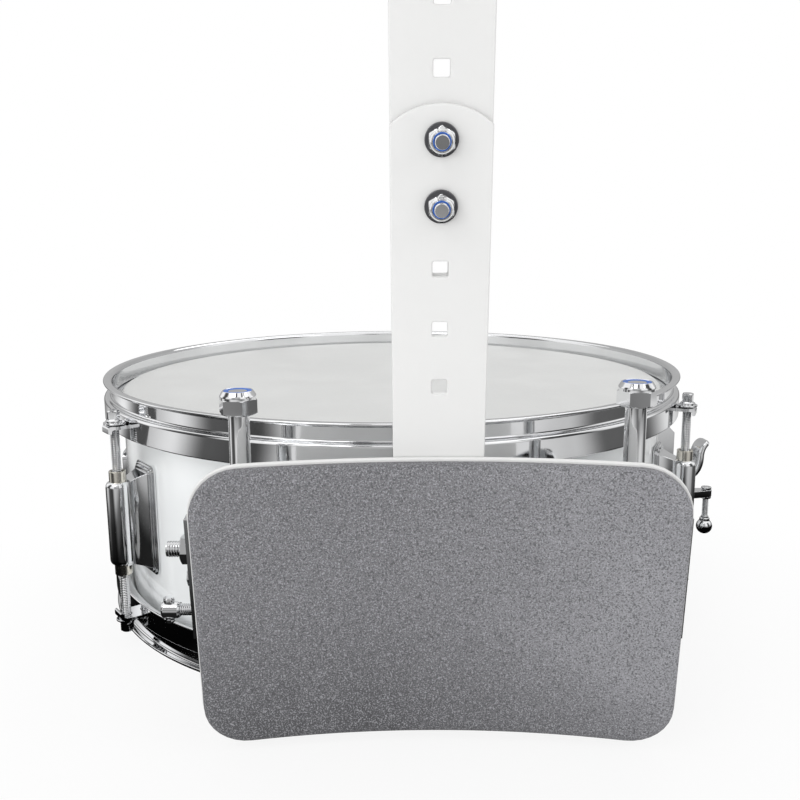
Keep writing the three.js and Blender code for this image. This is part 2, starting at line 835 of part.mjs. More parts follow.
function addSnares(drum) {
  addPiece(drum, 'snare_wires', 'steel_wire', makeSnareWires());
  addPiece(drum, 'butt_plate', 'chrome', makeButtPlate());
  addPiece(drum, 'butt_clamp', 'chrome', makeButtClamp());
  const buttTop = drumMiddle - buttHeight / 4 + buttBlockHeight / 2 - hoopBend;
  addPiece(drum, 'butt_strap', 'strap', spun(makeStrap(buttTop), 180));
  const raisedTo = drumMiddle;
  addPiece(drum, 'throw_off_base', 'chrome', makeThrowBase().translate(0, 0, raisedTo));
  addPiece(drum, 'throw_off_lever', 'chrome', makeLever().translate(0, 0, raisedTo));
  addPiece(drum, 'throw_off_carriage', 'chrome', makeCarriage().translate(0, 0, raisedTo));
  addPiece(drum, 'snare_tension_knob', 'chrome', makeKnob().translate(0, 0, raisedTo));
  addPiece(drum, 'strap_clamp', 'chrome', makeStrapClamp().translate(0, 0, raisedTo));
  const throwTop = drumMiddle + carriageBottom + clampHeight - seat;
  addPiece(drum, 'throw_off_strap', 'strap', makeStrap(throwTop));
}

// Posts stand in front of the shell on arms whose feet hug it.
function postX(side) {
  return harnessX + side * postSpacing / 2;
}

// Azimuth, in the harness's frame, of the middle of a foot
function footAzimuth(side) {
  const y = -Math.sqrt(fittingRadius ** 2 - postX(side) ** 2);
  return Math.atan2(y, postX(side)) / degree;
}

function makePostArm(side, upper) {
  const x = postX(side);
  const half = postArmWidth / 2;
  const strap = new THREE.Shape();
  strap.absarc(x, postY, half, 180 * degree, 360 * degree);
  const reachBack = -Math.sqrt(fittingRadius ** 2 - (Math.abs(x) + half) ** 2) + overrun;
  strap.lineTo(x + half, reachBack);
  strap.lineTo(x - half, reachBack);
  const z = upper ? postArmTop - postArmThick : postArmBottom;
  const arm = raised(strap, postArmThick, 4).translate(0, 0, z);
  const foot = moved(makeFoot(), 0, 0, upper ? postArmTop - footHeight : postArmBottom, 0, 0,
    footAzimuth(side));
  const screwZ = upper ? postArmTop - footHeight + screwHeadRadius
    : postArmBottom + footHeight - screwHeadRadius;
  const screws = [-1, 1].map((turn) => shellScrew(footAzimuth(side) + turn * footScrewSpan / 2, screwZ));
  const postHole = rod(postRadius + seat, drumHeight, 12).translate(x, postY, 0);
  return join(cut(join(arm, foot), spun(shellTool(), drumTurn), postHole), ...screws);
}

function shellTool() {
  return rod(fittingRadius, drumHeight, ringSides);
}

// A curved plate about the drum's axis, its middle on +X
function makeFoot() {
  const half = footSpan / 2 * degree;
  const sector = new THREE.Shape();
  sector.absarc(0, 0, fittingRadius + footThick, -half, half);
  sector.absarc(0, 0, fittingRadius - footThick / 2, half, -half, true);
  return raised(sector, footHeight, 2);
}

// A stud with the nut that clamps the lower arm and the sleeve that keeps the block up off it
function makePost(top) {
  const sleeveLow = postArmBottom + postArmThick + seat;
  const sleeveHigh = pivotZ - blockTailDrop - seat;
  return join(
    rod(postRadius, top - postBottom, 12).translate(0, 0, postBottom),
    hexagon(postNutFlats, postNutHeight - seat).translate(0, 0, postArmBottom - postNutHeight),
    rod(sleeveRadius, sleeveHigh - sleeveLow, 12).translate(0, 0, sleeveLow),
  ).translate(0, postY, 0);
}

// Lock nut: a chamfered hexagon with a rolled collar round its nylon ring
function lockNut(flats, height, collarRadius, collarHeight, bore) {
  const corner = flats / 2 / Math.cos(30 * degree);
  const inset = (corner - flats / 2) * nutShares.inset;
  const envelope = revolve([
    [0, 0],
    [corner - inset, 0],
    [corner, inset * nutShares.slope],
    [corner, height - inset * nutShares.slope],
    [corner - inset, height],
    [0, height],
  ], 12);
  const body = overlapOf(hexagon(flats, height), envelope);
  const collarTop = collarRadius - collarHeight * nutShares.collar;
  const collar = new THREE.CylinderGeometry(collarTop, collarRadius, collarHeight + seat, 12)
    .rotateX(90 * degree).translate(0, 0, height + (collarHeight - seat) / 2);
  const hole = rod(bore, height * 4, 12).translate(0, 0, -height);
  return cut(join(body, collar), hole);
}

function makePostNut(top) {
  const nut = lockNut(postNutFlats, postNutHeight, postNutCollarRadius, postNutCollarHeight,
    postRadius + seat);
  const rim = top - nylonRise;
  const whole = nut.translate(0, postY, rim - postNutHeight - postNutCollarHeight);
  const recess = rod(nylonRadius, postNutCollarHeight, 12)
    .translate(0, postY, rim - nylonRise);
  return cut(whole, recess);
}

// Hanger block: a tear drop round the pivot and the post, with a tail for the lock screw
function makeHangerBlock(side) {
  const profile = new THREE.Shape();
  const tailZ = pivotZ - blockTailDrop;
  const top = Math.asin(blockTopShare);
  profile.absarc(postY, pivotZ, blockRadius, -top, Math.PI + top);
  profile.lineTo(postY - blockTailRadius, pivotZ - lockDrop);
  profile.lineTo(postY - blockTailRadius, tailZ);
  profile.lineTo(postY + blockRadius, tailZ);
  const inner = postRadius + blockTailRadius;
  const outer = bracketInner() - seat - postSpacing / 2;
  const width = inner + outer;
  const block = acrossX(profile, width, side > 0 ? -inner : -outer);
  const postHole = rod(postRadius + seat, drumHeight, 12).translate(0, postY, 0);
  const bores = boltPlacesOnBlock().map(([drop, radius, grip]) => sideRod(
    side, radius + seat, outer - grip, outer + overrun).translate(0, postY, pivotZ - drop));
  const drilled = cut(block, postHole, bores[0], bores[2]);
  return join(drilled, makeStopBolt(side).translate(0, postY, pivotZ - stopDrop));
}

// Extrudes a shape drawn in Y and Z along X, from a given start.
function acrossX(shape, width, from, curveSegments = 6) {
  return raised(shape, width, curveSegments).rotateX(90 * degree).rotateZ(90 * degree)
    .translate(from, 0, 0);
}

// A rod along X that leaves the middle on one side, between two distances
function sideRod(side, radius, from, to, sides = boltSides) {
  const along = rod(radius, to - from, sides).rotateY(90 * degree).translate(from, 0, 0);
  return side > 0 ? along : along.rotateZ(180 * degree);
}

function boltPlacesOnBlock() {
  const grip = bracketInner() - seat - postSpacing / 2 - postRadius - 2 * seat;
  return [
    [0, pivotRadius, Math.min(pivotGrip, grip)],
    [stopDrop, stopRadius, Math.min(pivotGrip, grip)],
    [lockDrop, lockRadius, Math.min(pivotGrip, grip)],
  ];
}

function bracketInner() {
  return bracketWidth / 2 - bracketSheet;
}

// Pivot bolt: nut and thread end outside on the player's left, a low round head on the right
function makePivotBolt(side) {
  const face = bracketWidth / 2;
  const grip = boltPlacesOnBlock()[0][2];
  const from = bracketInner() - seat - grip + seat;
  const nutFrom = face + seat;
  const shank = side < 0
    ? sideRod(side, pivotRadius, from, nutFrom + pivotNutHeight + pivotTip, boltSides)
    : sideRod(side, pivotRadius, from, nutFrom + pivotHeadThick / 2, boltSides);
  return shank;
}

function makePivotNut() {
  return hexagon(pivotNutFlats, pivotNutHeight).rotateY(-90 * degree)
    .translate(-bracketWidth / 2 - seat, 0, 0);
}

function makeStopBolt(side) {
  const face = (bracketWidth - postSpacing) / 2;
  const from = postRadius + 2 * seat;
  const head = rod(stopNutFlats / 2 / Math.cos(30 * degree), stopNutHeight, 6).rotateY(90 * degree)
    .translate(face + seat, 0, 0);
  const turned = side > 0 ? head : head.rotateZ(180 * degree);
  return join(sideRod(side, stopRadius, from, face + seat + stopNutHeight / 2), turned);
}

// Lock screw: threads into the block through the bracket's slot and is turned by its cross bar
function makeLockScrew() {
  const face = bracketWidth / 2;
  const from = bracketInner() - boltPlacesOnBlock()[2][2];
  const headFrom = face + lockStandOff;
  return join(
    sideRod(-1, lockRadius, from, headFrom + lockHeadLength / 2),
    sideRod(-1, lockHeadRadius, headFrom, headFrom + lockHeadLength),
    sideRod(-1, lockHeadRadius + hoopBend, face + seat, face + seat + hoopSheet),
    rod(tommyRadius, tommyLength, boltSides)
      .translate(-headFrom - lockHeadLength * tommyShare, 0, -tommyLength / 2),
  );
}

// A slot along an arc about the pivot, as a tool through a flange
function tiltSlot(drop, radius) {
  const reach = radius + runClearance;
  const slot = new THREE.Shape();
  const from = (straightDown - tiltBack) * degree;
  const to = (straightDown + tiltFront) * degree;
  slot.absarc(0, 0, drop + reach, from, to);
  slot.absarc(drop * Math.cos(to), drop * Math.sin(to), reach, to, to + Math.PI);
  slot.absarc(0, 0, drop - reach, to, from, true);
  slot.absarc(drop * Math.cos(from), drop * Math.sin(from), reach, from + Math.PI, from + 2 * Math.PI);
  return acrossX(slot, bracketWidth + 2 * overrun, -bracketWidth / 2 - overrun, 2);
}

// The bracket is one bent sheet: a web behind the bar and a flange down each end of it.
// Its frame has the pivot at the origin and leans with the plate.
function makeTiltBracket(webBack) {
  const half = bracketWidth / 2;
  const webFront = webBack - bracketSheet;
  const web = box(bracketWidth, bracketSheet, webTop - webBottom)
    .translate(0, webBack - bracketSheet / 2, (webTop + webBottom) / 2);
  const flange = new THREE.Shape();
  flange.moveTo(webFront, webTop);
  flange.lineTo(webFront, flangeBottom);
  flange.absarc(flangeBack - blockTailRadius, flangeBottom + blockTailRadius, blockTailRadius,
    -90 * degree, 0);
  flange.absarc(flangeBack - plateCorner / 2, webTop - plateCorner / 2, plateCorner / 2, 0,
    90 * degree);
  const left = acrossX(flange, bracketSheet, -half, 3);
  const right = acrossX(flange, bracketSheet, half - bracketSheet, 3);
  const pivotHole = rod(pivotRadius + runClearance, bracketWidth + 2 * overrun)
    .rotateY(90 * degree).translate(-half - overrun, 0, 0);
  const slots = [tiltSlot(stopDrop, stopRadius), tiltSlot(lockDrop, lockRadius)]
    .map((slot) => moved(slot, 0, 0, 0, -plateLean));
  return cut(join(web, left, right), pivotHole, ...slots);
}

function addPosts() {
  for (const [name, side] of [['left', -1], ['right', 1]]) {
    addPiece(model, `post_arm_upper_${name}`, 'chrome', makePostArm(side, true));
    addPiece(model, `post_arm_lower_${name}`, 'chrome', makePostArm(side, false));
    const line = new THREE.Group();
    line.position.x = postX(side);
    model.add(line);
    addPiece(line, `post_${name}`, 'chrome', makePost(postTop[name]));
    addPiece(line, `post_nut_${name}`, 'chrome', makePostNut(postTop[name]));
    addPiece(line, `hanger_block_${name}`, 'chrome', makeHangerBlock(side));
  }
  addTiltBolts();
}

function pivotHead() {
  const from = bracketWidth / 2 + seat;
  return sideRod(1, pivotHeadRadius, from, from + pivotHeadThick, 12);
}

function addTiltBolts() {
  const pivot = new THREE.Group();
  pivot.position.set(harnessX, postY, pivotZ);
  model.add(pivot);
  addPiece(pivot, 'pivot_bolt_left', 'chrome', join(makePivotBolt(-1), makePivotNut()));
  addPiece(pivot, 'pivot_bolt_right', 'chrome', join(makePivotBolt(1), pivotHead()));
  addPiece(pivot, 'tilt_lock_screw', 'chrome', makeLockScrew().translate(0, 0, -lockDrop));
}

// Belly plate group: origin at the middle of the plate's back, at its top edge
function curvedSheet(front, back) {
  const half = plateWidth / 2 + overrun;
  const reach = Math.asin(half / plateCurve);
  const sector = new THREE.Shape();
  const centre = -plateCurve;
  sector.absarc(0, centre, plateCurve + back, 90 * degree - reach, 90 * degree + reach);
  sector.absarc(0, centre, plateCurve + front, 90 * degree + reach, 90 * degree - reach, true);
  return raised(sector, plateHeight + 2 * overrun, 14).translate(0, 0, -plateHeight - overrun);
}

function plateOutline(inset) {
  const shape = roundedPlate(plateWidth - 2 * inset, plateHeight - 2 * inset, plateCorner - inset);
  return upright(shape, plateWidth, 5).translate(0, plateWidth / 2, -plateHeight / 2);
}

function makeBellyPlate() {
  const sheet = overlapOf(curvedSheet(-plateThick, 0), plateOutline(0));
  const length = plateThick / 2 + seat + barThick + seat + bracketSheet + seat + studNutHeight + studTip;
  const studs = studRise.map((z) => rod(studRadius, length).rotateX(-90 * degree)
    .translate(0, -plateThick / 2, z));
  const nuts = studRise.map((z) => hexagon(studNutFlats, studNutHeight).rotateX(-90 * degree)
    .translate(0, length - plateThick / 2 - studTip - studNutHeight, z));
  return join(sheet, ...studs, ...nuts);
}

function makeBellyPad() {
  const front = -plateThick - seat - padThick;
  return overlapOf(curvedSheet(front, -plateThick - seat), plateOutline(padInset));
}

function squareHole(s) {
  return box(holeSide, barThick * 4, holeSide).translate(0, barThick / 2, s);
}

// A bar with a crowned top; its front face is y = 0 and it grows toward +Y.
function crownedBar(bottom, top) {
  const half = barWidth / 2;
  const radius = (half ** 2 + barCrownRise ** 2) / (2 * barCrownRise);
  const start = Math.acos(half / radius);
  const shape = new THREE.Shape();
  shape.moveTo(-half, bottom);
  shape.lineTo(half, bottom);
  shape.absarc(0, top - radius, radius, start, Math.PI - start);
  return upright(shape, barThick, 10).translate(0, barThick, 0);
}

function holePlace(i) {
  return firstHole + i * holePitch;
}

function makeLowerBar() {
  const last = holePlace(lowerHoles - 1);
  const holes = [];
  for (let i = 0; i < lowerHoles; i += 1) {
    holes.push(squareHole(holePlace(i)));
  }
  const leg = cut(crownedBar(-hoopBend, last + lowerBarEnd), ...holes);
  const foot = box(barWidth, barThick, barFoot).translate(0, barThick / 2, -barFoot / 2);
  const footHoles = studRise.map((z) => box(2 * (studRadius + seat), barThick * 4, 2 * (studRadius + seat))
    .translate(0, 0, z));
  return join(cut(foot, ...footHoles), moved(leg, 0, 0, 0, barLean - plateLean));
}

function makeUpperBar() {
  const first = boltPlaces[0] - holesUnderBolt;
  const holes = [];
  for (let i = 0; i < upperHoles - yokeBarBolts; i += 1) {
    holes.push(squareHole(holePlace(first + i)));
  }
  const top = holePlace(first + upperHoles - 1) + lowerBarEnd;
  const bar = cut(crownedBar(upperBarStart, top), ...holes);
  const stack = barThick + yokeThick + seat;
  const bolts = boltsAt(yokeBoltPlaces().slice(0, 2), stack);
  return join(bar, ...bolts.map((bolt) => bolt.translate(0, -yokeThick - seat, 0)));
}

// A bolt with its washer and lock nut, along Y through a stack whose front face is at y = 0;
// the nut is on the player's side.
function barBolt(stack) {
  const length = stack + 2 * seat + barWasherThick + barNutHeight + barBoltTip + seat;
  const shank = rod(barBoltRadius, length + hoopBend, boltSides).rotateX(90 * degree)
    .translate(0, stack + seat + hoopBend, 0);
  const head = new THREE.CylinderGeometry(barBoltHeadRadius * 0.6, barBoltHeadRadius,
    barBoltHeadThick, 10).translate(0, stack + seat + barBoltHeadThick / 2, 0);
  const washer = rod(barWasherRadius, barWasherThick, 12).rotateX(90 * degree).translate(0, -seat, 0);
  const nutAt = -seat - barWasherThick;
  const collar = new THREE.CylinderGeometry(barNutFlats * 0.45, barNutFlats * 0.36,
    barNutHeight * 0.3, 10).translate(0, nutAt - barNutHeight * 0.85, 0);
  const nut = hexagon(barNutFlats, barNutHeight * 0.7 + seat).rotateX(90 * degree)
    .translate(0, nutAt + seat, 0);
  return join(shank, head, washer, nut, collar);
}

function boltsAt(places, stack) {
  return places.map(([x, z]) => barBolt(stack).translate(x, 0, z));
}

function addHarness() {
  const plate = new THREE.Group();
  plate.position.set(harnessX, plateTopY, plateTopZ);
  plate.rotation.x = plateLean * degree;
  model.add(plate);
  addPiece(plate, 'belly_plate', 'white_paint', makeBellyPlate());
  addPiece(plate, 'belly_pad', 'foam', makeBellyPad());
  const bars = new THREE.Group();
  bars.position.y = seat;
  plate.add(bars);
  addPiece(bars, 'lower_bar', 'white_paint', makeLowerBar());
  const webBack = barThick + seat + bracketSheet;
  addTiltBracket(bars, webBack);
  const upper = new THREE.Group();
  upper.rotation.x = (barLean - plateLean) * degree;
  bars.add(upper);
  addUpperFrame(upper);
}

// The bracket hangs in the plate's leaning frame, with its pivot on the hanger blocks' axis.
function addTiltBracket(bars, webBack) {
  const angle = plateLean * degree;
  const dy = postY - plateTopY;
  const dz = pivotZ - plateTopZ;
  const pivotAlong = -dy * Math.sin(angle) + dz * Math.cos(angle);
  const pivotDeep = dy * Math.cos(angle) + dz * Math.sin(angle) - seat;
  const group = new THREE.Group();
  group.position.set(0, pivotDeep, pivotAlong);
  bars.add(group);
  const holes = studRise.map((z) => rod(studRadius + seat, bracketSheet * 4).rotateX(90 * degree)
    .translate(0, webBack - pivotDeep + bracketSheet, z - pivotAlong));
  addPiece(group, 'tilt_bracket', 'chrome', cut(makeTiltBracket(webBack - pivotDeep), ...holes));
}

function addUpperFrame(upper) {
  const behind = new THREE.Group();
  behind.position.y = barThick + seat;
  upper.add(behind);
  addPiece(behind, 'upper_bar', 'white_paint', makeUpperBar());
  const stack = 2 * barThick + seat;
  addYoke(upper, stack);
}

// Yoke: a plate across the chest in the lower bar's plane, and a bar bent over each shoulder
function makeYokePlate() {
  const [half, bar] = [yokeWidth / 2, barWidth / 2];
  const [low, high] = [yokeBandFoot, yokeBandFoot + yokeBandHeight];
  const sweep = yokeBandHeight * yokeSweepShare;
  const shape = new THREE.Shape();
  shape.moveTo(-bar, low - yokeTongue);
  shape.lineTo(bar, low - yokeTongue);
  shape.lineTo(bar, low - sweep);
  shape.quadraticCurveTo(bar, low, bar + sweep, low);
  shape.lineTo(half - sweep, low);
  shape.quadraticCurveTo(half, low, half, low + sweep);
  shape.lineTo(half, high);
  shape.lineTo(half - shoulderBarWidth - 2 * sweep / 3, high);
  shape.quadraticCurveTo(0, high - 2 * sweep, shoulderBarWidth + 2 * sweep / 3 - half, high);
  shape.lineTo(-half, high);
  shape.lineTo(-half, low + sweep);
  shape.quadraticCurveTo(-half, low, sweep - half, low);
  shape.lineTo(-bar - sweep, low);
  shape.quadraticCurveTo(-bar, low, -bar, low - sweep);
  const plate = upright(shape, yokeThick, 4).translate(0, barThick, 0);
  const drills = yokeBoltPlaces().map(([x, z]) => rod(barBoltRadius + seat, barThick * 4)
    .rotateX(90 * degree).translate(x, barThick * 2, z));
  return cut(plate, ...drills);
}

function yokeBoltPlaces() {
  const middle = yokeBandFoot + yokeBandHeight / 2;
  const last = boltPlaces[0] - 1 + upperHoles - 1;
  const places = [[0, holePlace(last)], [0, holePlace(last - 1)]];
  for (const side of [-1, 1]) {
    for (const step of [-1, 1]) {
      places.push([side * shoulderSpacing / 2, middle + step * shoulderBoltSpacing / 2]);
    }
  }
  return places;
}

// Band between two radii round the shoulder, from a start angle on to a straight tail
function shoulderBand(innerRadius, outerRadius, startAngle, foot, tail) {
  const end = shoulderWrap * degree;
  const shape = new THREE.Shape();
  const [start, centre] = [startAngle * degree, -shoulderRadius];
  if (foot > 0) {
    shape.moveTo(centre + innerRadius, -foot);
    shape.lineTo(centre + outerRadius, -foot);
  }
  shape.absarc(centre, 0, outerRadius, start, end);
  const [backY, backZ] = [-Math.sin(end) * tail, Math.cos(end) * tail];
  for (const radius of [outerRadius, innerRadius]) {
    shape.lineTo(centre + radius * Math.cos(end) + backY, radius * Math.sin(end) + backZ);
  }
  shape.absarc(centre, 0, innerRadius, end, start, true);
  return shape;
}

function makeShoulderBar(x) {
  const foot = shoulderRise - shoulderFoot;
  const band = shoulderBand(shoulderRadius, shoulderRadius + shoulderBarThick, 0, foot, shoulderTail);
  const bar = acrossX(band, shoulderBarWidth, x - shoulderBarWidth / 2, shoulderSteps)
    .translate(0, barThick + seat, shoulderRise);
  const places = yokeBoltPlaces().filter(([px]) => px === x);
  const bolts = boltsAt(places, barThick + seat + shoulderBarThick);
  return join(bar, ...bolts);
}

function makeShoulderPad(x) {
  const outer = shoulderRadius - seat;
  const band = shoulderBand(outer - shoulderPadThick, outer, shoulderPadStart, 0, shoulderPadTail);
  return acrossX(band, shoulderPadWidth, x - shoulderPadWidth / 2, shoulderSteps)
    .translate(0, barThick + seat, shoulderRise);
}

function addYoke(upper, stack) {
  addPiece(upper, 'yoke_plate', 'white_paint', makeYokePlate());
  for (const [name, side] of [['left', -1], ['right', 1]]) {
    const x = side * shoulderSpacing / 2;
    addPiece(upper, `shoulder_bar_${name}`, 'white_paint', makeShoulderBar(x));
    addPiece(upper, `shoulder_pad_${name}`, 'foam', makeShoulderPad(x));
  }
  boltPlaces.forEach((place, i) => {
    addPiece(upper, `bar_bolt_${i + 1}`, 'dark_steel', barBolt(stack).translate(0, 0, holePlace(place)));
  });
}

addDrum();
addPosts();
addHarness();

// The origin is the middle of the footprint of the whole object's box, on the floor.
model.updateMatrixWorld(true);
const bounds = new THREE.Box3().setFromObject(model, true);
const middle = bounds.getCenter(new THREE.Vector3());
model.position.set(-middle.x, -middle.y, -bounds.min.z);

export default model;
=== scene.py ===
import json
import math
from types import SimpleNamespace

import bmesh
import bpy
from mathutils import Matrix, Vector


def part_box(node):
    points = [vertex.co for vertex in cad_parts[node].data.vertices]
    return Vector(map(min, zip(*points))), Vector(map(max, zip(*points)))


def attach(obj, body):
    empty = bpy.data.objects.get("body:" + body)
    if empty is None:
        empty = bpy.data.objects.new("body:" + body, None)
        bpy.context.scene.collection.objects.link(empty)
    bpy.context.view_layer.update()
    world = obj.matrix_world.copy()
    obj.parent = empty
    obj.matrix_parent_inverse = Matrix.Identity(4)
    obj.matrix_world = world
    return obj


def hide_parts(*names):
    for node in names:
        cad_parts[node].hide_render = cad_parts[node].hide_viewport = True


bl_info = {
    "name": "Marching Drum on Its Harness",
    "version": (1, 0, 0),
    "blender": (4, 5, 0),
    "location": "View3D > Sidebar > Drum",
    "description": "Dresses a marching snare drum and the harness that carries it",
    "category": "Add Mesh",
}

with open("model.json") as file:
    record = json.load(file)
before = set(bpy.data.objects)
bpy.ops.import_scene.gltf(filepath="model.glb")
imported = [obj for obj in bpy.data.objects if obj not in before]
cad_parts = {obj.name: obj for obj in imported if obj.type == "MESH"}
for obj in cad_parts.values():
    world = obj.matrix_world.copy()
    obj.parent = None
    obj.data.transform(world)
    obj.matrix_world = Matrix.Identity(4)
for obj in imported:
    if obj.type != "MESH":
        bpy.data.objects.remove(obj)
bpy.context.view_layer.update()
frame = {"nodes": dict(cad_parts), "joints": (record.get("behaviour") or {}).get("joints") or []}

MM = 0.001


# Places, in millimetres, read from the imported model

def middle(node):
    low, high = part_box(node)
    return (low + high) / 2 / MM


def joint_place(name):
    place = next(j for j in frame["joints"] if j["name"] == name)["pos_m"]
    return Vector(place) / MM


def shift(x=0.0, y=0.0, z=0.0):
    return Matrix.Translation((x, y, z))


def turn(degrees, axis):
    return Matrix.Rotation(math.radians(degrees), 4, axis)


SHELL_MIDDLE = middle("shell")
TILT_PIVOT = joint_place("tilt")
CLEARANCE = 0.3
DRUM_TURN = 7.5
PLATE_FROM_PIVOT = Vector((0, -29.7, 53.3))
PLATE_LEAN = 7
BAR_LEAN = 4
DRUM = shift(*SHELL_MIDDLE) @ turn(DRUM_TURN, "Z")
PLATE = shift(*(TILT_PIVOT + PLATE_FROM_PIVOT)) @ turn(PLATE_LEAN, "X")
BARS = PLATE @ shift(y=CLEARANCE)
UPPER = BARS @ turn(BAR_LEAN, "X")
LUG_ANGLES = [30 + 60 * i for i in range(6)]


# Outlines: lists of (x, y) in millimetres

def arc(x, y, radius, start, end, steps=8):
    angles = [math.radians(start + (end - start) * i / steps) for i in range(steps + 1)]
    return [(x + radius * math.cos(a), y + radius * math.sin(a)) for a in angles]


def rounded(points, radius, steps=4, closed=True):
    """The same outline with its corners rounded, by one radius or one for each corner."""
    out = []
    count = len(points)
    for i, point in enumerate(points):
        size = radius[i] if isinstance(radius, (list, tuple)) else radius
        here = Vector(point)
        back = Vector(points[i - 1]) - here
        ahead = Vector(points[(i + 1) % count]) - here
        end = not closed and i in (0, count - 1)
        if end or size <= 0 or back.length < 1e-6 or ahead.length < 1e-6:
            out.append(tuple(here))
            continue
        corner = back.angle(ahead)
        if corner > math.pi - 0.02:
            out.append(tuple(here))
            continue
        cut = min(size / math.tan(corner / 2), 0.48 * back.length, 0.48 * ahead.length)
        size = cut * math.tan(corner / 2)
        centre = here + (back.normalized() + ahead.normalized()).normalized() * size / math.sin(corner / 2)
        start = here + back.normalized() * cut - centre
        sweep = start.angle_signed(here + ahead.normalized() * cut - centre)
        for k in range(steps + 1):
            spoke = start.copy()
            spoke.rotate(Matrix.Rotation(-sweep * k / steps, 2))
            out.append(tuple(centre + spoke))
    return out


def rounded_box(width, height, radius, steps=5, x=0.0, y=0.0):
    w, h = width / 2, height / 2
    corners = [(x + w, y + h), (x - w, y + h), (x - w, y - h), (x + w, y - h)]
    return rounded(corners, radius, steps)


def circle(x, y, radius, steps=20):
    return arc(x, y, radius, 0, 360, steps)[:-1]


# Solids: each function gives a bmesh in millimetres, with its axis along Z

def new_object(name, data):
    """An object that holds the data, linked to the scene."""
    holder = bpy.data.objects.new(name, data)
    bpy.context.scene.collection.objects.link(holder)
    return holder


def to_mesh(bm, name):
    mesh = bpy.data.meshes.new(name)
    bm.to_mesh(mesh)
    bm.free()
    return mesh


def evaluated(holder):
    """The form that an object has after its modifiers."""
    depsgraph = bpy.context.evaluated_depsgraph_get()
    mesh = bpy.data.meshes.new_from_object(holder.evaluated_get(depsgraph))
    bm = bmesh.new()
    bm.from_mesh(mesh)
    bpy.data.meshes.remove(mesh)
    return bm


def turned(sides):
    """Angles all the way round."""
    return [2 * math.pi * k / sides for k in range(sides)]


def spun(radius, height, angle):
    return radius * math.cos(angle), radius * math.sin(angle), height


def grid_solid(rings, close_rings=False, capped=True):
    """Skins a list of rings, each a list of points. A ring of one point is a tip."""
    bm = bmesh.new()
    made = [[bm.verts.new(p) for p in ring] for ring in rings]
    pairs = list(zip(made, made[1:]))
    if close_rings:
        pairs.append((made[-1], made[0]))
    for a, b in pairs:
        count = max(len(a), len(b))
        for k in range(count):
            n = (k + 1) % count
            corners = [a[k % len(a)], a[n % len(a)], b[n % len(b)], b[k % len(b)]]
            face = list(dict.fromkeys(corners))
            if len(face) > 2:
                bm.faces.new(face)
    if capped and not close_rings:
        for ring in (made[0], made[-1]):
            if len(ring) > 2:
                bm.faces.new(ring)
    bmesh.ops.recalc_face_normals(bm, faces=bm.faces)
    return bm


def lathe(profile, sides=48, closed=False):
    """Turns (radius, height) points about Z. A closed profile makes a ring."""
    rings = []
    for radius, height in profile:
        on_axis = radius < 1e-4
        rings.append([(0.0, 0.0, height)] if on_axis else [spun(radius, height, a) for a in turned(sides)])
    return grid_solid(rings, closed)


def prism(outline, low, high, edge=0.0):
    bm = bmesh.new()
    base = bm.faces.new([bm.verts.new((x, y, low)) for x, y in outline])
    made = bmesh.ops.extrude_face_region(bm, geom=[base])["geom"]
    top = [v for v in made if isinstance(v, bmesh.types.BMVert)]
    bmesh.ops.translate(bm, vec=(0, 0, high - low), verts=top)
    bmesh.ops.recalc_face_normals(bm, faces=bm.faces)
    return ease(bm, edge)


def ease(bm, edge, steps=2, sharp=40):
    """Bevels the edges that turn by more than the sharp angle."""
    if edge > 0:
        least = math.radians(sharp)
        edges = [e for e in bm.edges if len(e.link_faces) == 2 and e.calc_face_angle(0) > least]
        bmesh.ops.bevel(bm, geom=edges, offset=edge, segments=steps, profile=0.6, affect="EDGES",
                        clamp_overlap=True)
    return bm


def slab(outline, holes, thick, edge):
    """A flat plate from z = 0 to its thickness, with holes and rolled edges."""
    curve = bpy.data.curves.new("slab", "CURVE")
    curve.dimensions = "2D"
    curve.fill_mode = "BOTH"
    for loop in [outline, *holes]:
        spline = curve.splines.new("POLY")
        spline.points.add(len(loop) - 1)
        for point, (x, y) in zip(spline.points, loop):
            point.co = (x, y, 0, 1)
        spline.use_cyclic_u = True
    curve.extrude = thick / 2 - edge
    curve.bevel_depth = edge
    curve.offset = -edge
    curve.bevel_resolution = 2
    holder = new_object("slab", curve)
    bm = evaluated(holder)
    bpy.data.objects.remove(holder)
    bpy.data.curves.remove(curve)
    bmesh.ops.translate(bm, vec=(0, 0, thick / 2), verts=bm.verts)
    bmesh.ops.remove_doubles(bm, verts=bm.verts, dist=1e-3)
    bmesh.ops.recalc_face_normals(bm, faces=bm.faces)
    return bm


def cut_by(bm, places, axis):
    """Cuts a mesh across at several places along one axis, so that it can bend there."""
    for place in places:
        at = Vector(axis) * place
        bmesh.ops.bisect_plane(bm, geom=bm.verts[:] + bm.edges[:] + bm.faces[:], plane_co=at, plane_no=axis)


def bend(bm, shape):
    for vert in bm.verts:
        vert.co = Vector(shape(*vert.co))
    return bm


def sweep(path, section):
    """Carries a section along a path of (place, side, up) frames; section(share) gives its points."""
    rings = []
    for i, (place, side, up) in enumerate(path):
        ring = section(i / (len(path) - 1))
        rings.append([tuple(place + side * x + up * y) for x, y in ring])
    return grid_solid(rings)


def thread(radius, low, high, pitch, depth, sides=20, per_turn=5):
    """A rod with a screw thread between two heights."""
    steps = max(2, int((high - low) / pitch * per_turn))
    rings = [[(0.0, 0.0, low)]]
    for i in range(steps + 1):
        z = low + (high - low) * i / steps
        fade = min(1.0, (z - low) / pitch, (high - z) / pitch)
        ring = []
        for k, angle in enumerate(turned(sides)):
            wave = abs(2 * ((z / pitch - k / sides) % 1.0) - 1)
            ring.append(spun(radius - depth * (wave * fade + (1 - fade)), z, angle))
        rings.append(ring)
    rings.append([(0.0, 0.0, high)])
    return grid_solid(rings)


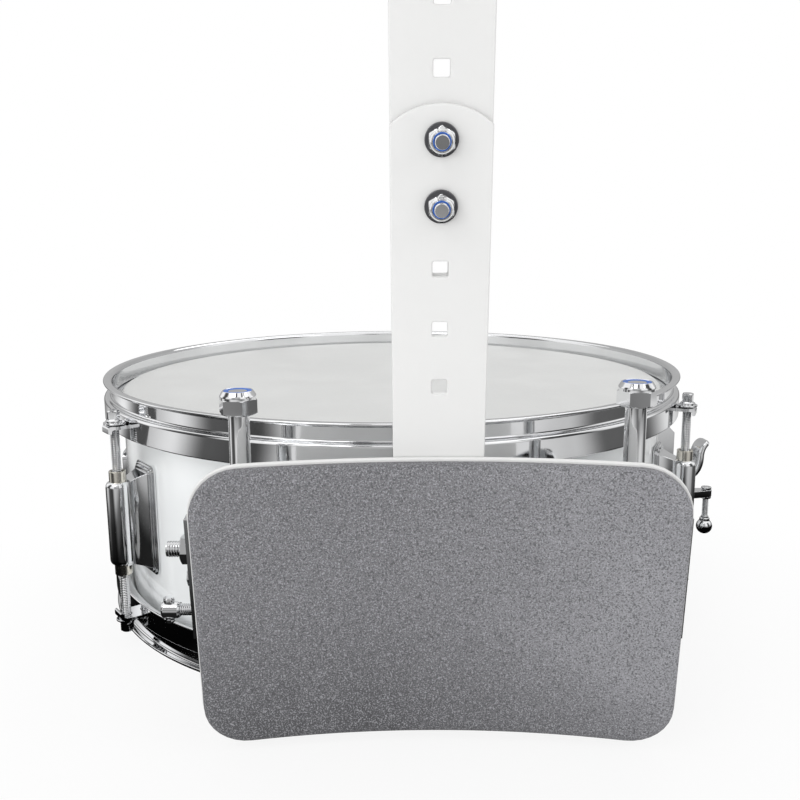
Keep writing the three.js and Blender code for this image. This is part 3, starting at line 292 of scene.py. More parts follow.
def polar(heights, reach, sides=48):
    """A turned form whose reach may change round it: reach(i, angle) is the radius at height i."""
    rings = [[(0.0, 0.0, heights[0])]]
    rings += [[spun(reach(i, a), z, a) for a in turned(sides)] for i, z in enumerate(heights)]
    rings.append([(0.0, 0.0, heights[-1])])
    return grid_solid(rings)


def flat_reach(angle, flats, corners):
    """Distance from the middle of a regular form to its side, at an angle."""
    half = math.pi / corners
    local = (angle + half) % (2 * half) - half
    return flats / 2 / math.cos(local)


def hex_nut(flats, height):
    """A hexagon whose corners are chamfered as by turning, from z = 0."""
    corner, seat, lift = flats / math.sqrt(3), flats * 0.485, 0.12
    drop = (corner - flats / 2) * 0.62
    layers = [(0.0, flats * 0.47), (lift, seat)]
    layers += [(lift + drop * share, seat + (corner - seat) * share) for share in (0.25, 0.5, 0.75, 1.0)]
    layers += [(height - z, r) for z, r in reversed(layers)]
    return polar([z for z, _ in layers], lambda i, a: min(layers[i][1], flat_reach(a, flats, 6)), 72)


# Joining solids into pieces

def merged(parts):
    """One mesh from (solid, matrix, finish number) parts, from millimetres to metres."""
    whole = bmesh.new()
    for solid, at, number in parts:
        for face in solid.faces:
            face.material_index = number
            face.smooth = True
        mesh = to_mesh(solid, "part")
        mesh.transform(Matrix.Scale(MM, 4) @ at)
        whole.from_mesh(mesh)
        bpy.data.meshes.remove(mesh)
    return whole


def even_normals(piece):
    normals = piece.modifiers.new("Even normals", "WEIGHTED_NORMAL")
    normals.weight = 60
    return normals


def add_piece(name, body, parts, finishes, replaced=()):
    """A piece with smooth faces and sharp edges, which rides on a body and replaces solids."""
    mesh = to_mesh(merged(parts), name)
    for finish in finishes if isinstance(finishes, list) else [finishes]:
        mesh.materials.append(finish)
    mesh.set_sharp_from_angle(angle=math.radians(35))
    piece = new_object(name, mesh)
    even_normals(piece).keep_sharp = True
    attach(piece, body)
    if replaced:
        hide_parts(*([replaced] if isinstance(replaced, str) else replaced))
    return piece


def joined(base, tool, at=Matrix(), operation="UNION"):
    """A boolean of two solids in millimetres; the tool is placed first."""
    holders = []
    for solid, matrix in ((base, Matrix()), (tool, at)):
        mesh = to_mesh(solid, "boolean")
        mesh.transform(matrix)
        holders.append(new_object("boolean", mesh))
    modifier = holders[0].modifiers.new("Boolean", "BOOLEAN")
    modifier.operation = operation
    modifier.solver = "EXACT"
    modifier.object = holders[1]
    bm = evaluated(holders[0])
    for holder in holders:
        mesh = holder.data
        bpy.data.objects.remove(holder)
        bpy.data.meshes.remove(mesh)
    bmesh.ops.remove_doubles(bm, verts=bm.verts, dist=1e-4)
    return bm


def eased_copy(name, node, body, finish, edge):
    """A copy of a CAD node's own form with its flat faces cleaned and its edges rolled."""
    bm = bmesh.new()
    bm.from_mesh(frame["nodes"][node].data)
    bmesh.ops.remove_doubles(bm, verts=bm.verts, dist=1e-6)
    bmesh.ops.dissolve_limit(bm, angle_limit=math.radians(1), verts=bm.verts, edges=bm.edges)
    for face in bm.faces:
        face.smooth = True
        face.material_index = 0
    mesh = to_mesh(bm, name)
    mesh.materials.append(finish)
    piece = new_object(name, mesh)
    rolled = piece.modifiers.new("Rolled edges", "BEVEL")
    rolled.width = edge * MM
    rolled.segments = 2
    rolled.limit_method = "ANGLE"
    rolled.angle_limit = math.radians(32)
    even_normals(piece)
    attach(piece, body)
    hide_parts(node)


# Node groups shared by the finishes

def new_group(name, inputs, outputs):
    group = bpy.data.node_groups.new(name, "ShaderNodeTree")
    for label, value in inputs:
        socket = group.interface.new_socket(label, in_out="INPUT", socket_type="NodeSocketFloat")
        socket.default_value = value
    for label in outputs:
        group.interface.new_socket(label, in_out="OUTPUT", socket_type="NodeSocketFloat")
    start = group.nodes.new("NodeGroupInput")
    end = group.nodes.new("NodeGroupOutput")
    return group, start, end


def add_node(tree, kind, settings=None, **inputs):
    node = tree.nodes.new(kind)
    for key, value in (settings or {}).items():
        setattr(node, key, value)
    for key, value in inputs.items():
        label = key.replace("_", " ")
        socket = node.inputs[int(key[1:])] if key[0] == "i" and key[1:].isdigit() else node.inputs[label]
        if isinstance(value, bpy.types.NodeSocket):
            tree.links.new(value, socket)
        else:
            socket.default_value = value
    return node


def math_node(tree, operation, a, b):
    return add_node(tree, "ShaderNodeMath", {"operation": operation}, i0=a, i1=b).outputs[0]


def ranged(tree, value, low, high, to_low, to_high):
    return add_node(tree, "ShaderNodeMapRange", Value=value, From_Min=low, From_Max=high,
                    To_Min=to_low, To_Max=to_high).outputs[0]


def object_place(tree):
    return add_node(tree, "ShaderNodeTexCoord").outputs["Object"]


def noise(tree, place, **values):
    return add_node(tree, "ShaderNodeTexNoise", Vector=place, **values).outputs["Fac"]


def surface_grain():
    """Fine unevenness: a height for bumps and a mask of the same grain."""
    group, start, end = new_group("Surface Grain", [("Scale", 600.0), ("Detail", 3.0)], ["Height", "Mask"])
    height = noise(group, object_place(group), Scale=start.outputs["Scale"], Detail=start.outputs["Detail"])
    group.links.new(height, end.inputs["Height"])
    group.links.new(ranged(group, height, 0.35, 0.65, 0, 1), end.inputs["Mask"])
    return group


def handling_marks():
    """Roughness that smudges and fine scratches leave, on top of a base value."""
    group, start, end = new_group("Handling Marks", [("Base", 0.1), ("Smudge", 0.05), ("Scratch", 0.05)],
                                  ["Roughness"])
    place = object_place(group)
    smudge = ranged(group, noise(group, place, Scale=38.0, Detail=4.0), 0.45, 0.7, 0, 1)
    stretched = add_node(group, "ShaderNodeMapping", Vector=place, Rotation=(0.4, 0.7, 0.2),
                         Scale=(900, 60, 60)).outputs[0]
    scratch = ranged(group, noise(group, stretched, Scale=1.0, Detail=2.0), 0.62, 0.75, 0, 1)
    total = math_node(group, "MULTIPLY", smudge, start.outputs["Smudge"])
    total = math_node(group, "ADD", total, math_node(group, "MULTIPLY", scratch, start.outputs["Scratch"]))
    total = math_node(group, "ADD", total, start.outputs["Base"])
    group.links.new(total, end.inputs["Roughness"])
    return group


def edge_wear():
    """A mask that is 1 on worn outer edges and 0 on faces."""
    group, start, end = new_group("Edge Wear", [("Start", 0.52), ("Full", 0.6)], ["Mask"])
    sharpness = add_node(group, "ShaderNodeNewGeometry").outputs["Pointiness"]
    breakup = noise(group, object_place(group), Scale=220.0)
    worn = ranged(group, sharpness, start.outputs["Start"], start.outputs["Full"], 0, 1)
    worn = math_node(group, "MULTIPLY", worn, ranged(group, breakup, 0.4, 0.6, 0.3, 1))
    group.links.new(worn, end.inputs["Mask"])
    return group


def speckle():
    """Scattered fine dots: a mask of dots and a slower cloud."""
    group, start, end = new_group("Speckle", [("Scale", 900.0), ("Share", 0.5)], ["Dots", "Cloud"])
    place = object_place(group)
    dots = noise(group, place, Scale=start.outputs["Scale"], Detail=2.0, Roughness=0.7)
    high = math_node(group, "ADD", start.outputs["Share"], 0.12)
    group.links.new(ranged(group, dots, start.outputs["Share"], high, 0, 1), end.inputs["Dots"])
    cloud = noise(group, place, Scale=22.0, Detail=5.0, Roughness=0.6)
    group.links.new(ranged(group, cloud, 0.35, 0.65, 0, 1), end.inputs["Cloud"])
    return group


# Finishes

def start_finish(name, colour, roughness, metallic=0.0):
    material = bpy.data.materials.new(name)
    material.use_nodes = True
    material.diffuse_color = (*colour, 1)
    tree = material.node_tree
    shader = next(n for n in tree.nodes if n.type == "BSDF_PRINCIPLED")
    shader.inputs["Base Color"].default_value = (*colour, 1)
    shader.inputs["Roughness"].default_value = roughness
    shader.inputs["Metallic"].default_value = metallic
    return material, tree, shader


def use_group(tree, group, **values):
    node = tree.nodes.new("ShaderNodeGroup")
    node.node_tree = group
    for label, value in values.items():
        node.inputs[label].default_value = value
    return node.outputs


def blended(tree, mask, first, second):
    """A colour that goes from the first to the second with a mask."""
    mix = tree.nodes.new("ShaderNodeMix")
    mix.data_type = "RGBA"
    mix.clamp_factor = True
    tree.links.new(mask, mix.inputs[0])
    for socket, value in ((mix.inputs[6], first), (mix.inputs[7], second)):
        if isinstance(value, bpy.types.NodeSocket):
            tree.links.new(value, socket)
        else:
            socket.default_value = (*value, 1)
    return mix.outputs[2]


def bump(tree, shader, height, strength, distance):
    node = add_node(tree, "ShaderNodeBump", Height=height, Strength=strength, Distance=distance)
    tree.links.new(node.outputs[0], shader.inputs["Normal"])


def shade(colour, share):
    return tuple(min(1.0, c * share) for c in colour)


def clouded(tree, groups, first, second):
    return blended(tree, use_group(tree, groups.speckle)["Cloud"], first, second)


def rubbed(tree, groups, tone, second, start, full):
    """A colour that goes over to a second one on worn edges."""
    return blended(tree, use_group(tree, groups.wear, Start=start, Full=full)["Mask"], tone, second)


def cover(tree, shader, groups, tone, base, smudge, scratch):
    """Links a colour, and a roughness that handling has changed."""
    tree.links.new(tone, shader.inputs["Base Color"])
    marks = use_group(tree, groups.marks, Base=base, Smudge=smudge, Scratch=scratch)
    tree.links.new(marks["Roughness"], shader.inputs["Roughness"])


def grain_bump(tree, shader, groups, scale, detail, strength, distance):
    grain = use_group(tree, groups.grain, Scale=scale, Detail=detail)
    bump(tree, shader, grain["Height"], strength, distance)


def plated(name, colour, groups, base=0.05, smudge=0.06, scratch=0.03, grain=0.0):
    """Bright plated or bare metal with a cloudy tone and handling marks."""
    material, tree, shader = start_finish(name, colour, base, 1.0)
    tone = clouded(tree, groups, shade(colour, 0.96), shade(colour, 1.03))
    cover(tree, shader, groups, tone, base, smudge, scratch)
    if grain:
        grain_bump(tree, shader, groups, 900.0, 2.0, grain, 0.0001)
    return material


def gloss_wrap(colours, groups):
    """Glossy white covering on the shell, with a clear top coat and rubbed edges."""
    material, tree, shader = start_finish("Gloss White", colours.shell, 0.16)
    shader.inputs["Coat Weight"].default_value = 1.0
    shader.inputs["Coat Roughness"].default_value = 0.03
    shader.inputs["IOR"].default_value = 1.5
    tone = clouded(tree, groups, shade(colours.shell, 0.985), colours.shell)
    tone = rubbed(tree, groups, tone, shade(colours.shell, 0.9), 0.53, 0.62)
    cover(tree, shader, groups, tone, 0.14, 0.08, 0.05)
    return material


def coated_film(colours, groups):
    """Sprayed coating on the drum head: very fine grit and a cloudy tone."""
    material, tree, shader = start_finish("Coated Film", colours.film, 0.5)
    grit = use_group(tree, groups.speckle, Scale=1500.0, Share=0.5)
    tone = blended(tree, grit["Cloud"], shade(colours.film, 0.975), colours.film)
    tone = blended(tree, grit["Dots"], tone, shade(colours.film, 1.03))
    cover(tree, shader, groups, tone, 0.42, 0.12, 0.0)
    grain_bump(tree, shader, groups, 1600.0, 3.0, 0.25, 0.0002)
    return material


def powder_paint(colours, groups):
    """White powder paint on sheet metal, with a faint orange peel and rubbed edges."""
    material, tree, shader = start_finish("White Paint", colours.paint, 0.34)
    shader.inputs["Coat Weight"].default_value = 0.25
    shader.inputs["Coat Roughness"].default_value = 0.25
    tone = clouded(tree, groups, shade(colours.paint, 0.985), colours.paint)
    tone = rubbed(tree, groups, tone, shade(colours.paint, 0.86), 0.54, 0.66)
    cover(tree, shader, groups, tone, 0.3, 0.1, 0.06)
    grain_bump(tree, shader, groups, 420.0, 1.0, 0.12, 0.0004)
    return material


def closed_foam(colours, groups):
    """Dense grey foam: pale speckle, darker pits, painted shade that darkens it low down and painted light
    that makes it paler on the right.
    """
    material, tree, shader = start_finish("Grey Foam", colours.foam, 0.92)
    shader.inputs["Specular IOR Level"].default_value = 0.25
    shader.inputs["Sheen Weight"].default_value = 0.12
    fine = use_group(tree, groups.speckle, Scale=1500.0, Share=0.5)
    whole = add_node(tree, "ShaderNodeTexCoord").outputs["Generated"]
    sides = add_node(tree, "ShaderNodeSeparateXYZ", Vector=whole)
    # Painted light: a mask that grows towards the right, where the foam is painted paler
    painted_light_right = ranged(tree, sides.outputs["X"], 0.4, 1, 0, 1)
    raised = math_node(tree, "ADD", sides.outputs["Z"], math_node(tree, "MULTIPLY", painted_light_right, 0.35))
    # Painted shade: this share is 0 low down, more so on the left, where the foam is painted darker
    clear_of_painted_shade = ranged(tree, raised, 0, 0.55, 0, 1)
    pits = use_group(tree, groups.speckle, Scale=1200.0, Share=0.5)
    tone = blended(tree, painted_light_right, shade(colours.foam, 0.86), shade(colours.foam, 1.5))
    tone = blended(tree, clear_of_painted_shade, shade(colours.foam, 0.36), tone)
    for mask, amount, share in ((fine["Cloud"], 0.4, 0.8), (fine["Dots"], 0.75, 2.0),
                                (pits["Dots"], 0.75, 0.35)):
        tone = blended(tree, math_node(tree, "MULTIPLY", mask, amount), tone, shade(colours.foam, share))
    tree.links.new(tone, shader.inputs["Base Color"])
    grain_bump(tree, shader, groups, 1400.0, 3.0, 0.4, 0.0003)
    return material


def woven_strap(colours, groups):
    """Woven polyester strap: threads that cross over and under."""
    material, tree, shader = start_finish("Woven Strap", colours.strap, 0.75)
    place = object_place(tree)
    across = add_node(tree, "ShaderNodeTexWave", {"bands_direction": "Z"}, Vector=place, Scale=900.0)
    along = add_node(tree, "ShaderNodeTexWave", {"bands_direction": "Y"}, Vector=place, Scale=700.0)
    weave = math_node(tree, "MULTIPLY", across.outputs["Fac"], along.outputs["Fac"])
    tone = blended(tree, weave, shade(colours.strap, 0.6), shade(colours.strap, 1.6))
    tree.links.new(tone, shader.inputs["Base Color"])
    bump(tree, shader, weave, 0.6, 0.0003)
    return material


def blue_nylon(colours, groups):
    """Moulded nylon of the rings in the lock nuts."""
    material, tree, shader = start_finish("Blue Nylon Ring", colours.ring, 0.35)
    tone = clouded(tree, groups, shade(colours.ring, 0.85), shade(colours.ring, 1.15))
    cover(tree, shader, groups, tone, 0.35, 0.1, 0.05)
    return material


_finishes = {}


def finishes():
    """Every finish of the drum and the harness, made once."""
    if not _finishes:
        colours = bpy.context.scene.drum_colours
        groups = SimpleNamespace(grain=surface_grain(), marks=handling_marks(), wear=edge_wear(),
                                 speckle=speckle())
        picked = SimpleNamespace(**{key: tuple(getattr(colours, key))[:3] for key in (
            "shell", "film", "paint", "foam", "chrome", "strap", "ring")})
        _finishes.update(
            shell=gloss_wrap(picked, groups),
            film=coated_film(picked, groups),
            paint=powder_paint(picked, groups),
            foam=closed_foam(picked, groups),
            strap=woven_strap(picked, groups),
            chrome=plated("Chrome", picked.chrome, groups),
            rod=plated("Rolled Steel Rod", shade(picked.chrome, 0.88), groups, 0.12, 0.08, 0.08),
            swivel=plated("Swivel Brass Nickel", (0.72, 0.69, 0.62), groups, 0.14, 0.08, 0.05),
            ring_metal=plated("Flesh Ring Aluminium", (0.78, 0.79, 0.8), groups, 0.3, 0.1, 0.1, 0.1),
            bolt=plated("Zinc Bolt", (0.55, 0.56, 0.6), groups, 0.2, 0.1, 0.1),
            washer=plated("Dark Washer", (0.16, 0.16, 0.17), groups, 0.3, 0.12, 0.1),
            wire=plated("Snare Wire", (0.62, 0.63, 0.64), groups, 0.25, 0.1, 0.05),
            blue=blue_nylon(picked, groups),
        )
    return SimpleNamespace(**_finishes)


# Settings that a user would change

def length(name, description, millimetres):
    return bpy.props.FloatProperty(name=name, description=description, default=millimetres * MM, min=0.0,
                                   unit="LENGTH", subtype="DISTANCE", precision=4)


def colour(name, description, value):
    return bpy.props.FloatVectorProperty(name=name, description=description, default=value, size=3,
                                         min=0.0, max=1.0, subtype="COLOR")


class DrumSizes(bpy.types.PropertyGroup):
    shell_radius: length("Shell Radius", "Outside of the shell", 177.8)
    shell_depth: length("Shell Depth", "Between the two bearing edges", 127.0)
    hoop_lip: length("Hoop Lip Radius", "Outer edge of each hoop's lip", 189.0)
    hoop_rise: length("Hoop Rise", "Lip above the shell's edge", 9.75)
    hoop_height: length("Hoop Height", "Height of a pressed hoop", 24.5)
    hoop_sheet: length("Hoop Sheet", "Thickness of the hoops' steel", 1.8)
    rod_circle: length("Rod Circle", "Distance of the tension rods from the drum's axis", 195.0)
    rod_radius: length("Rod Radius", "Radius of the tension rods", 2.75)
    lug_height: length("Lug Tube Height", "Height of the tubes on the lugs", 50.0)


class HarnessSizes(bpy.types.PropertyGroup):
    plate_width: length("Plate Width", "Width of the belly plate", 218.0)
    plate_height: length("Plate Height", "Height of the belly plate", 139.0)
    plate_corner: length("Plate Corner", "Corner radius of the belly plate", 22.0)
    plate_curve: length("Plate Curve", "Radius that the plate is rolled to", 516.0)
    pad_thick: length("Pad Thickness", "Thickness of the belly pad", 6.0)
    bar_width: length("Bar Width", "Width of the two upright bars", 40.0)
    hole_side: length("Hole Side", "Side of the square holes", 6.4)
    hole_pitch: length("Hole Pitch", "Spacing of the square holes", 25.4)
    shoulder_radius: length("Shoulder Radius", "Inside of the bars bent over the shoulders", 76.0)


class DrumColours(bpy.types.PropertyGroup):
    shell: colour("Shell", "Gloss covering on the shell", (0.9, 0.92, 0.925))
    film: colour("Heads", "Coating on the drum heads", (0.74, 0.745, 0.735))
    paint: colour("Harness Paint", "Powder paint on the harness", (0.78, 0.78, 0.773))
    foam: colour("Foam", "Foam of the belly and shoulder pads", (0.2, 0.2, 0.212))
    chrome: colour("Chrome", "Plating on hoops, lugs and posts", (0.86, 0.865, 0.875))
    strap: colour("Strap", "Woven straps of the snares", (0.03, 0.03, 0.033))
    ring: colour("Lock Ring", "Nylon rings in the lock nuts", (0.04, 0.15, 0.55))


class StageSettings(bpy.types.PropertyGroup):
    floor_radius: length("Floor Radius", "Radius of the floor", 4000.0)
    lamp: bpy.props.FloatProperty(name="Lamp Strength", description="Share of the full lamp power",
                                  default=1.0, min=0.0, subtype="FACTOR")
    ambient: bpy.props.FloatProperty(name="Ambient", description="Even light from the room",
                                     default=0.72, min=0.0, subtype="FACTOR")


def millimetres(group):
    """The lengths of a property group as plain millimetres."""
    names = group.__annotations__
    return SimpleNamespace(**{name: getattr(group, name) / MM for name in names})


def drum_sizes():
    sizes = millimetres(bpy.context.scene.drum_sizes)
    sizes.hoop_wall = sizes.hoop_lip - 4
    sizes.top = DRUM @ shift(z=sizes.shell_depth / 2)
    sizes.bottom = DRUM @ shift(z=-sizes.shell_depth / 2) @ turn(180, "X")
    sizes.fitting = sizes.shell_radius + 0.3
    return sizes


def harness_sizes():
    return millimetres(bpy.context.scene.harness_sizes)


# Drum

WALL = 6
CREST = 1.2
VENT_ANGLE = 60
HOOP_STEP = -0.75
EAR_TOP = -5.75
EAR_REACH = 11.3
EAR_DROP = 4.5
ROD_SEAT = -5.45


class MakeShell(bpy.types.Operator):
    """Shell with its bearing edges and the air vent"""
    bl_idname = "drum.make_shell"
    bl_label = "Shell"
    bl_options = {"REGISTER", "UNDO"}

    def execute(self, context):
        s, f = drum_sizes(), finishes()
        half = s.shell_depth / 2
        side = [(s.shell_radius - WALL, half - 4.6), (s.shell_radius - CREST, half),
                (s.shell_radius, half - CREST)]
        profile = side + [(r, -z) for r, z in reversed(side)]
        wall = lathe(rounded(profile, 0.6, 3), 224, closed=True)
        add_piece("drum_shell", "drum", [(wall, DRUM, 0)], f.shell, "shell")
        flange = rounded([(4.4, -7.6), (5, -7.6), (5, 0), (8.5, 0), (8.5, 1.4), (3.8, 1.4), (3.8, -7.6)],
                         [0, 0.3, 0.4, 0.3, 0.9, 0.7, 0.2], 3)
        vent = lathe(flange, 32, closed=True)
        at = DRUM @ turn(VENT_ANGLE, "Z") @ shift(x=s.fitting) @ turn(90, "Y")
        add_piece("vent_grommet", "drum", [(vent, at, 0)], f.chrome, "air_vent")
        return {"FINISHED"}


def cornered(corners, steps, closed=True):
    """Outline from (x, y, corner radius) points."""
    return rounded([(x, y) for x, y, _ in corners], [radius for _, _, radius in corners], steps, closed)


def hoop_profile(s):
    """Section of a pressed hoop: skirt, step out to the wall, and the lip folded back."""
    sheet, lip, wall = s.hoop_sheet, s.hoop_lip, s.hoop_wall
    top, low = s.hoop_rise, s.hoop_rise - s.hoop_height
    return cornered([
        (lip, low, 0.85), (lip, HOOP_STEP, 2.4), (wall, HOOP_STEP, 1.3), (wall, top - sheet, 1.3),
        (lip, top - sheet, 0.88), (lip, top, 0.88), (wall - sheet, top, 2.6),
        (wall - sheet, HOOP_STEP - sheet, 1.0), (lip - sheet, HOOP_STEP - sheet, 1.2),
        (lip - sheet, low, 0.85)], 5)


def hoop_ear(s):
    """Ear pressed out of the skirt: level where the rod's head sits, then turned down at the tip."""
    root, tip, sheet = s.hoop_lip - s.hoop_sheet * 0.7, s.hoop_lip + EAR_REACH, s.hoop_sheet
    half, below, above = 7.5, EAR_TOP - 9, EAR_TOP + 4
    under, low = EAR_TOP - sheet, EAR_TOP - EAR_DROP
    side = [(root, EAR_TOP, 0), (tip, EAR_TOP, 3.0), (tip, low, 0.7), (tip - sheet, low, 0.7),
            (tip - sheet, under, 1.3), (root, under, 0)]
    ear = bend(prism(cornered(side, 5), -half, half), lambda x, y, z: (x, z, y))
    plan = [(root - 5, -half, 0), (tip - 4, -half, 5), (tip + 0.5, -4.4, 2), (tip + 0.5, 4.4, 2),
            (tip - 4, half, 5), (root - 5, half, 0)]
    ear = joined(ear, prism(cornered(plan, 5), below, above), operation="INTERSECT")
    hole = prism(circle(s.rod_circle, 0, s.rod_radius + 0.5, 24), below, above)
    ear = joined(ear, hole, operation="DIFFERENCE")
    bmesh.ops.dissolve_limit(ear, angle_limit=math.radians(1), verts=ear.verts, edges=ear.edges)
    return ease(ear, 0.35, 2, 50)


class MakeHoops(bpy.types.Operator):
    """Pressed hoops with three bends, six ears each and the snare gates"""
    bl_idname = "drum.make_hoops"
    bl_label = "Hoops"
    bl_options = {"REGISTER", "UNDO"}

    def execute(self, context):
        s, f = drum_sizes(), finishes()
        for name, at, gates in (("top", s.top, False), ("bottom", s.bottom, True)):
            ring = lathe(hoop_profile(s), 256, closed=True)
            if gates:
                for side in (0, 180):
                    gate = prism(rounded_box(14, 30, 2.5, x=s.hoop_lip - 2), -20, s.hoop_rise - 2)
                    ring = joined(ring, gate, turn(side, "Z"), "DIFFERENCE")
            parts = [(ring, at, 0)]
            parts += [(hoop_ear(s), at @ turn(a, "Z"), 0) for a in LUG_ANGLES]
            add_piece(f"{name}_hoop_pressed", "drum", parts, f.chrome, f"{name}_hoop")
        return {"FINISHED"}


class MakeHeads(bpy.types.Operator):
    """Coated film over the bearing edge, held in its flesh ring"""
    bl_idname = "drum.make_heads"
    bl_label = "Heads"
    bl_options = {"REGISTER", "UNDO"}

    def execute(self, context):
        s, f = drum_sizes(), finishes()
        crest, ring = s.shell_radius - CREST, s.hoop_lip - s.hoop_sheet - 2 * CLEARANCE
        ring_inside = ring - 6.1
        for name, node, at in (("batter", "batter_head", s.top), ("snare", "snare_head", s.bottom)):
            levels = [(crest * i / 24, 0.8) for i in range(24)]
            collar = cornered([(crest - 6, 0.8, 0), (crest + 0.6, 0.75, 1.6),
                               (s.shell_radius + 0.75, -1.4, 2), (s.shell_radius + 0.95, -4.0, 1.2),
                               (ring - 3, -3.6, 0)], 4, closed=False)
            under = [(r - 0.3, z - 0.5) for r, z in reversed(collar)]
            film = lathe(levels + collar + under + [(0, 0.3)], 160)
            add_piece(f"{name}_head_film", "drum", [(film, at, 0)], f.film, node)
            low, high = -9.8, -2.95
            wall = rounded([(ring_inside, low), (ring, low), (ring, high), (ring_inside, high)], 1.2, 4)
            add_piece(f"{name}_head_ring", "drum", [(lathe(wall, 160, True), at, 0)],
                      f.ring_metal)
        return {"FINISHED"}


def tension_rod(s):
    """Square-headed rod with its flange and washer, from z = 0 at the washer's underside.
    Each layer gives a height, a radius and whether the square key form cuts it."""
    layers = [(0.0, 5.5, 0), (0.25, 5.9, 0), (1.0, 5.9, 0), (1.2, 5.6, 0), (1.25, 4.6, 0), (2.2, 4.5, 0),
              (2.7, 3.9, 0), (2.95, 3.4, 1), (3.2, 3.9, 1), (7.0, 3.9, 1), (7.6, 3.7, 1), (8.1, 3.0, 1),
              (8.1, 0.6, 0)]

    def reach(i, angle):
        _, radius, square = layers[i]
        return min(flat_reach(angle, 5.9, 4), radius) if square else radius

    head = polar([z for z, _, _ in layers], reach)
    shank = thread(s.rod_radius, -49.5, -0.05, 1.06, 0.42, 18, 4)
    return [(head, 0), (shank, 1)]


class MakeRods(bpy.types.Operator):
    """Twelve tension rods with square heads"""
    bl_idname = "drum.make_rods"
    bl_label = "Tension Rods"
    bl_options = {"REGISTER", "UNDO"}

    def execute(self, context):
        s, f = drum_sizes(), finishes()
        for name, at, sign in (("top", s.top, 1), ("bottom", s.bottom, -1)):
            for i, angle in enumerate(LUG_ANGLES):
                place = at @ turn(sign * angle, "Z") @ shift(x=s.rod_circle, z=ROD_SEAT) @ turn(17 * i, "Z")
                parts = [(solid, place, number) for solid, number in tension_rod(s)]
                add_piece(f"key_rod_{name}_{i + 1}", "drum", parts, [f.chrome, f.rod],
                          f"tension_rod_{name}_{i + 1}")
        return {"FINISHED"}


# Steps of a lug's base: width, height, bottom, top and corner radius
LUG_STEPS = [(25, 66, 0, 1.4, 4), (22.4, 63.4, 1.2, 2.3, 3.4), (20, 61, 2.1, 3.2, 3)]
LUG_TUBE = 7.0
LUG_WAIST = 4.3
LUG_ROOT = 9.0
LUG_BODY = 28.5
SCREW_HEIGHT = 29
SCREW_SEAT = 6.3


def lug_parts(s):
    """One lug in the frame whose x leaves the drum's axis: stepped base, waisted body and tube."""
    radius, tube, half = s.rod_circle, LUG_TUBE, s.lug_height / 2
    parts = []
    for width, height, low, high, corner in LUG_STEPS:
        base = prism(rounded_box(width, height, corner), low, high, 0.45)
        parts.append(bend(base, lambda x, y, z: (s.fitting + z - x * x / 2 / s.fitting, x, y)))
    root = s.fitting + 2.8
    plan = []
    for i in range(9):
        t = i / 8
        x = (1 - t) ** 2 * root + 2 * t * (1 - t) * (radius - tube) + t * t * radius
        y = (1 - t) ** 2 * LUG_ROOT + 2 * t * (1 - t) * LUG_WAIST + t * t * (tube - 0.6)
        plan.append((x, -y))
    plan += [(x, -y) for x, y in reversed(plan)]
    below = [(root - 1, -LUG_BODY - 0.5), (root, -LUG_BODY), (radius - 5, -half), (radius + 1, -half)]
    side = below + [(x, -z) for x, z in reversed(below)]
    tool = bend(prism(side, -13, 13), lambda x, y, z: (x, z, y))
    body = joined(prism(plan, -LUG_BODY, LUG_BODY), tool, operation="INTERSECT")
    bmesh.ops.dissolve_limit(body, angle_limit=math.radians(0.5), verts=body.verts, edges=body.edges)
    parts.append(ease(body, 1.8, 4, 45))
    barrel = rounded([(0, -half), (tube, -half), (tube, half), (0, half)], [0, 3.4, 3.4, 0], 6, closed=False)
    parts.append(bend(lathe(barrel, 48), lambda x, y, z: (x + radius, y, z)))
    return parts


def swivel_nut():
    """Swivel nut standing out of the tube: a round collar with a bored end."""
    profile = rounded([(3.3, 0), (4.8, 0), (4.8, 8), (3.3, 8)], [0.3, 0.5, 0, 0], 3)
    return lathe(profile, 28, closed=True)


def shell_screw():
    return lathe([(0, -9.4), (1.9, -9.4), (1.9, -3), (2.1, -2.7), (4.0, -2.6), (4.2, -2.2), (3.6, -0.8),
                  (2.0, -0.15), (0, 0)], 20)


class MakeLugs(bpy.types.Operator):
    """Six lugs on the shell with their swivel nuts and screws"""
    bl_idname = "drum.make_lugs"
    bl_label = "Lugs"
    bl_options = {"REGISTER", "UNDO"}

    def execute(self, context):
        s, f = drum_sizes(), finishes()
        for i, angle in enumerate(LUG_ANGLES):
            at = DRUM @ turn(angle, "Z")
            parts = [(solid, at, 0) for solid in lug_parts(s)]
            for flip in (0, 180):
                nut = at @ shift(x=s.rod_circle) @ turn(flip, "X") @ shift(z=-s.lug_height / 2 - 6)
                parts.append((swivel_nut(), nut, 1))
                height = SCREW_HEIGHT if flip else -SCREW_HEIGHT
                screw = at @ shift(x=s.shell_radius - SCREW_SEAT, z=height) @ turn(-90, "Y")
                parts.append((shell_screw(), screw, 2))
            add_piece(f"waisted_lug_{i + 1}", "drum", parts, [f.chrome, f.swivel, f.bolt],
                      f"lug_{i + 1}")
        return {"FINISHED"}


# Snares and their throw-off

WIRE_COUNT = 20
WIRE_SPACING = 2
WIRE_RADIUS = 0.8
WIRE_LEVEL = 7.65
WIRE_INSET = 27.8


def strand(x, y, z, span, steps=300):
    """One snare wire, drawn as rings that swell at each turn of its coil."""
    rings = [[(x, y, z)]]
    for i in range(steps + 1):
        wide = WIRE_RADIUS * (1.0 if i % 2 else 0.72)
        rings.append([(x + span * i / steps, y + wide * math.cos(math.pi * k / 3),
                       z + wide * math.sin(math.pi * k / 3)) for k in range(6)])
    rings.append([(x + span, y, z)])
    return grid_solid(rings)


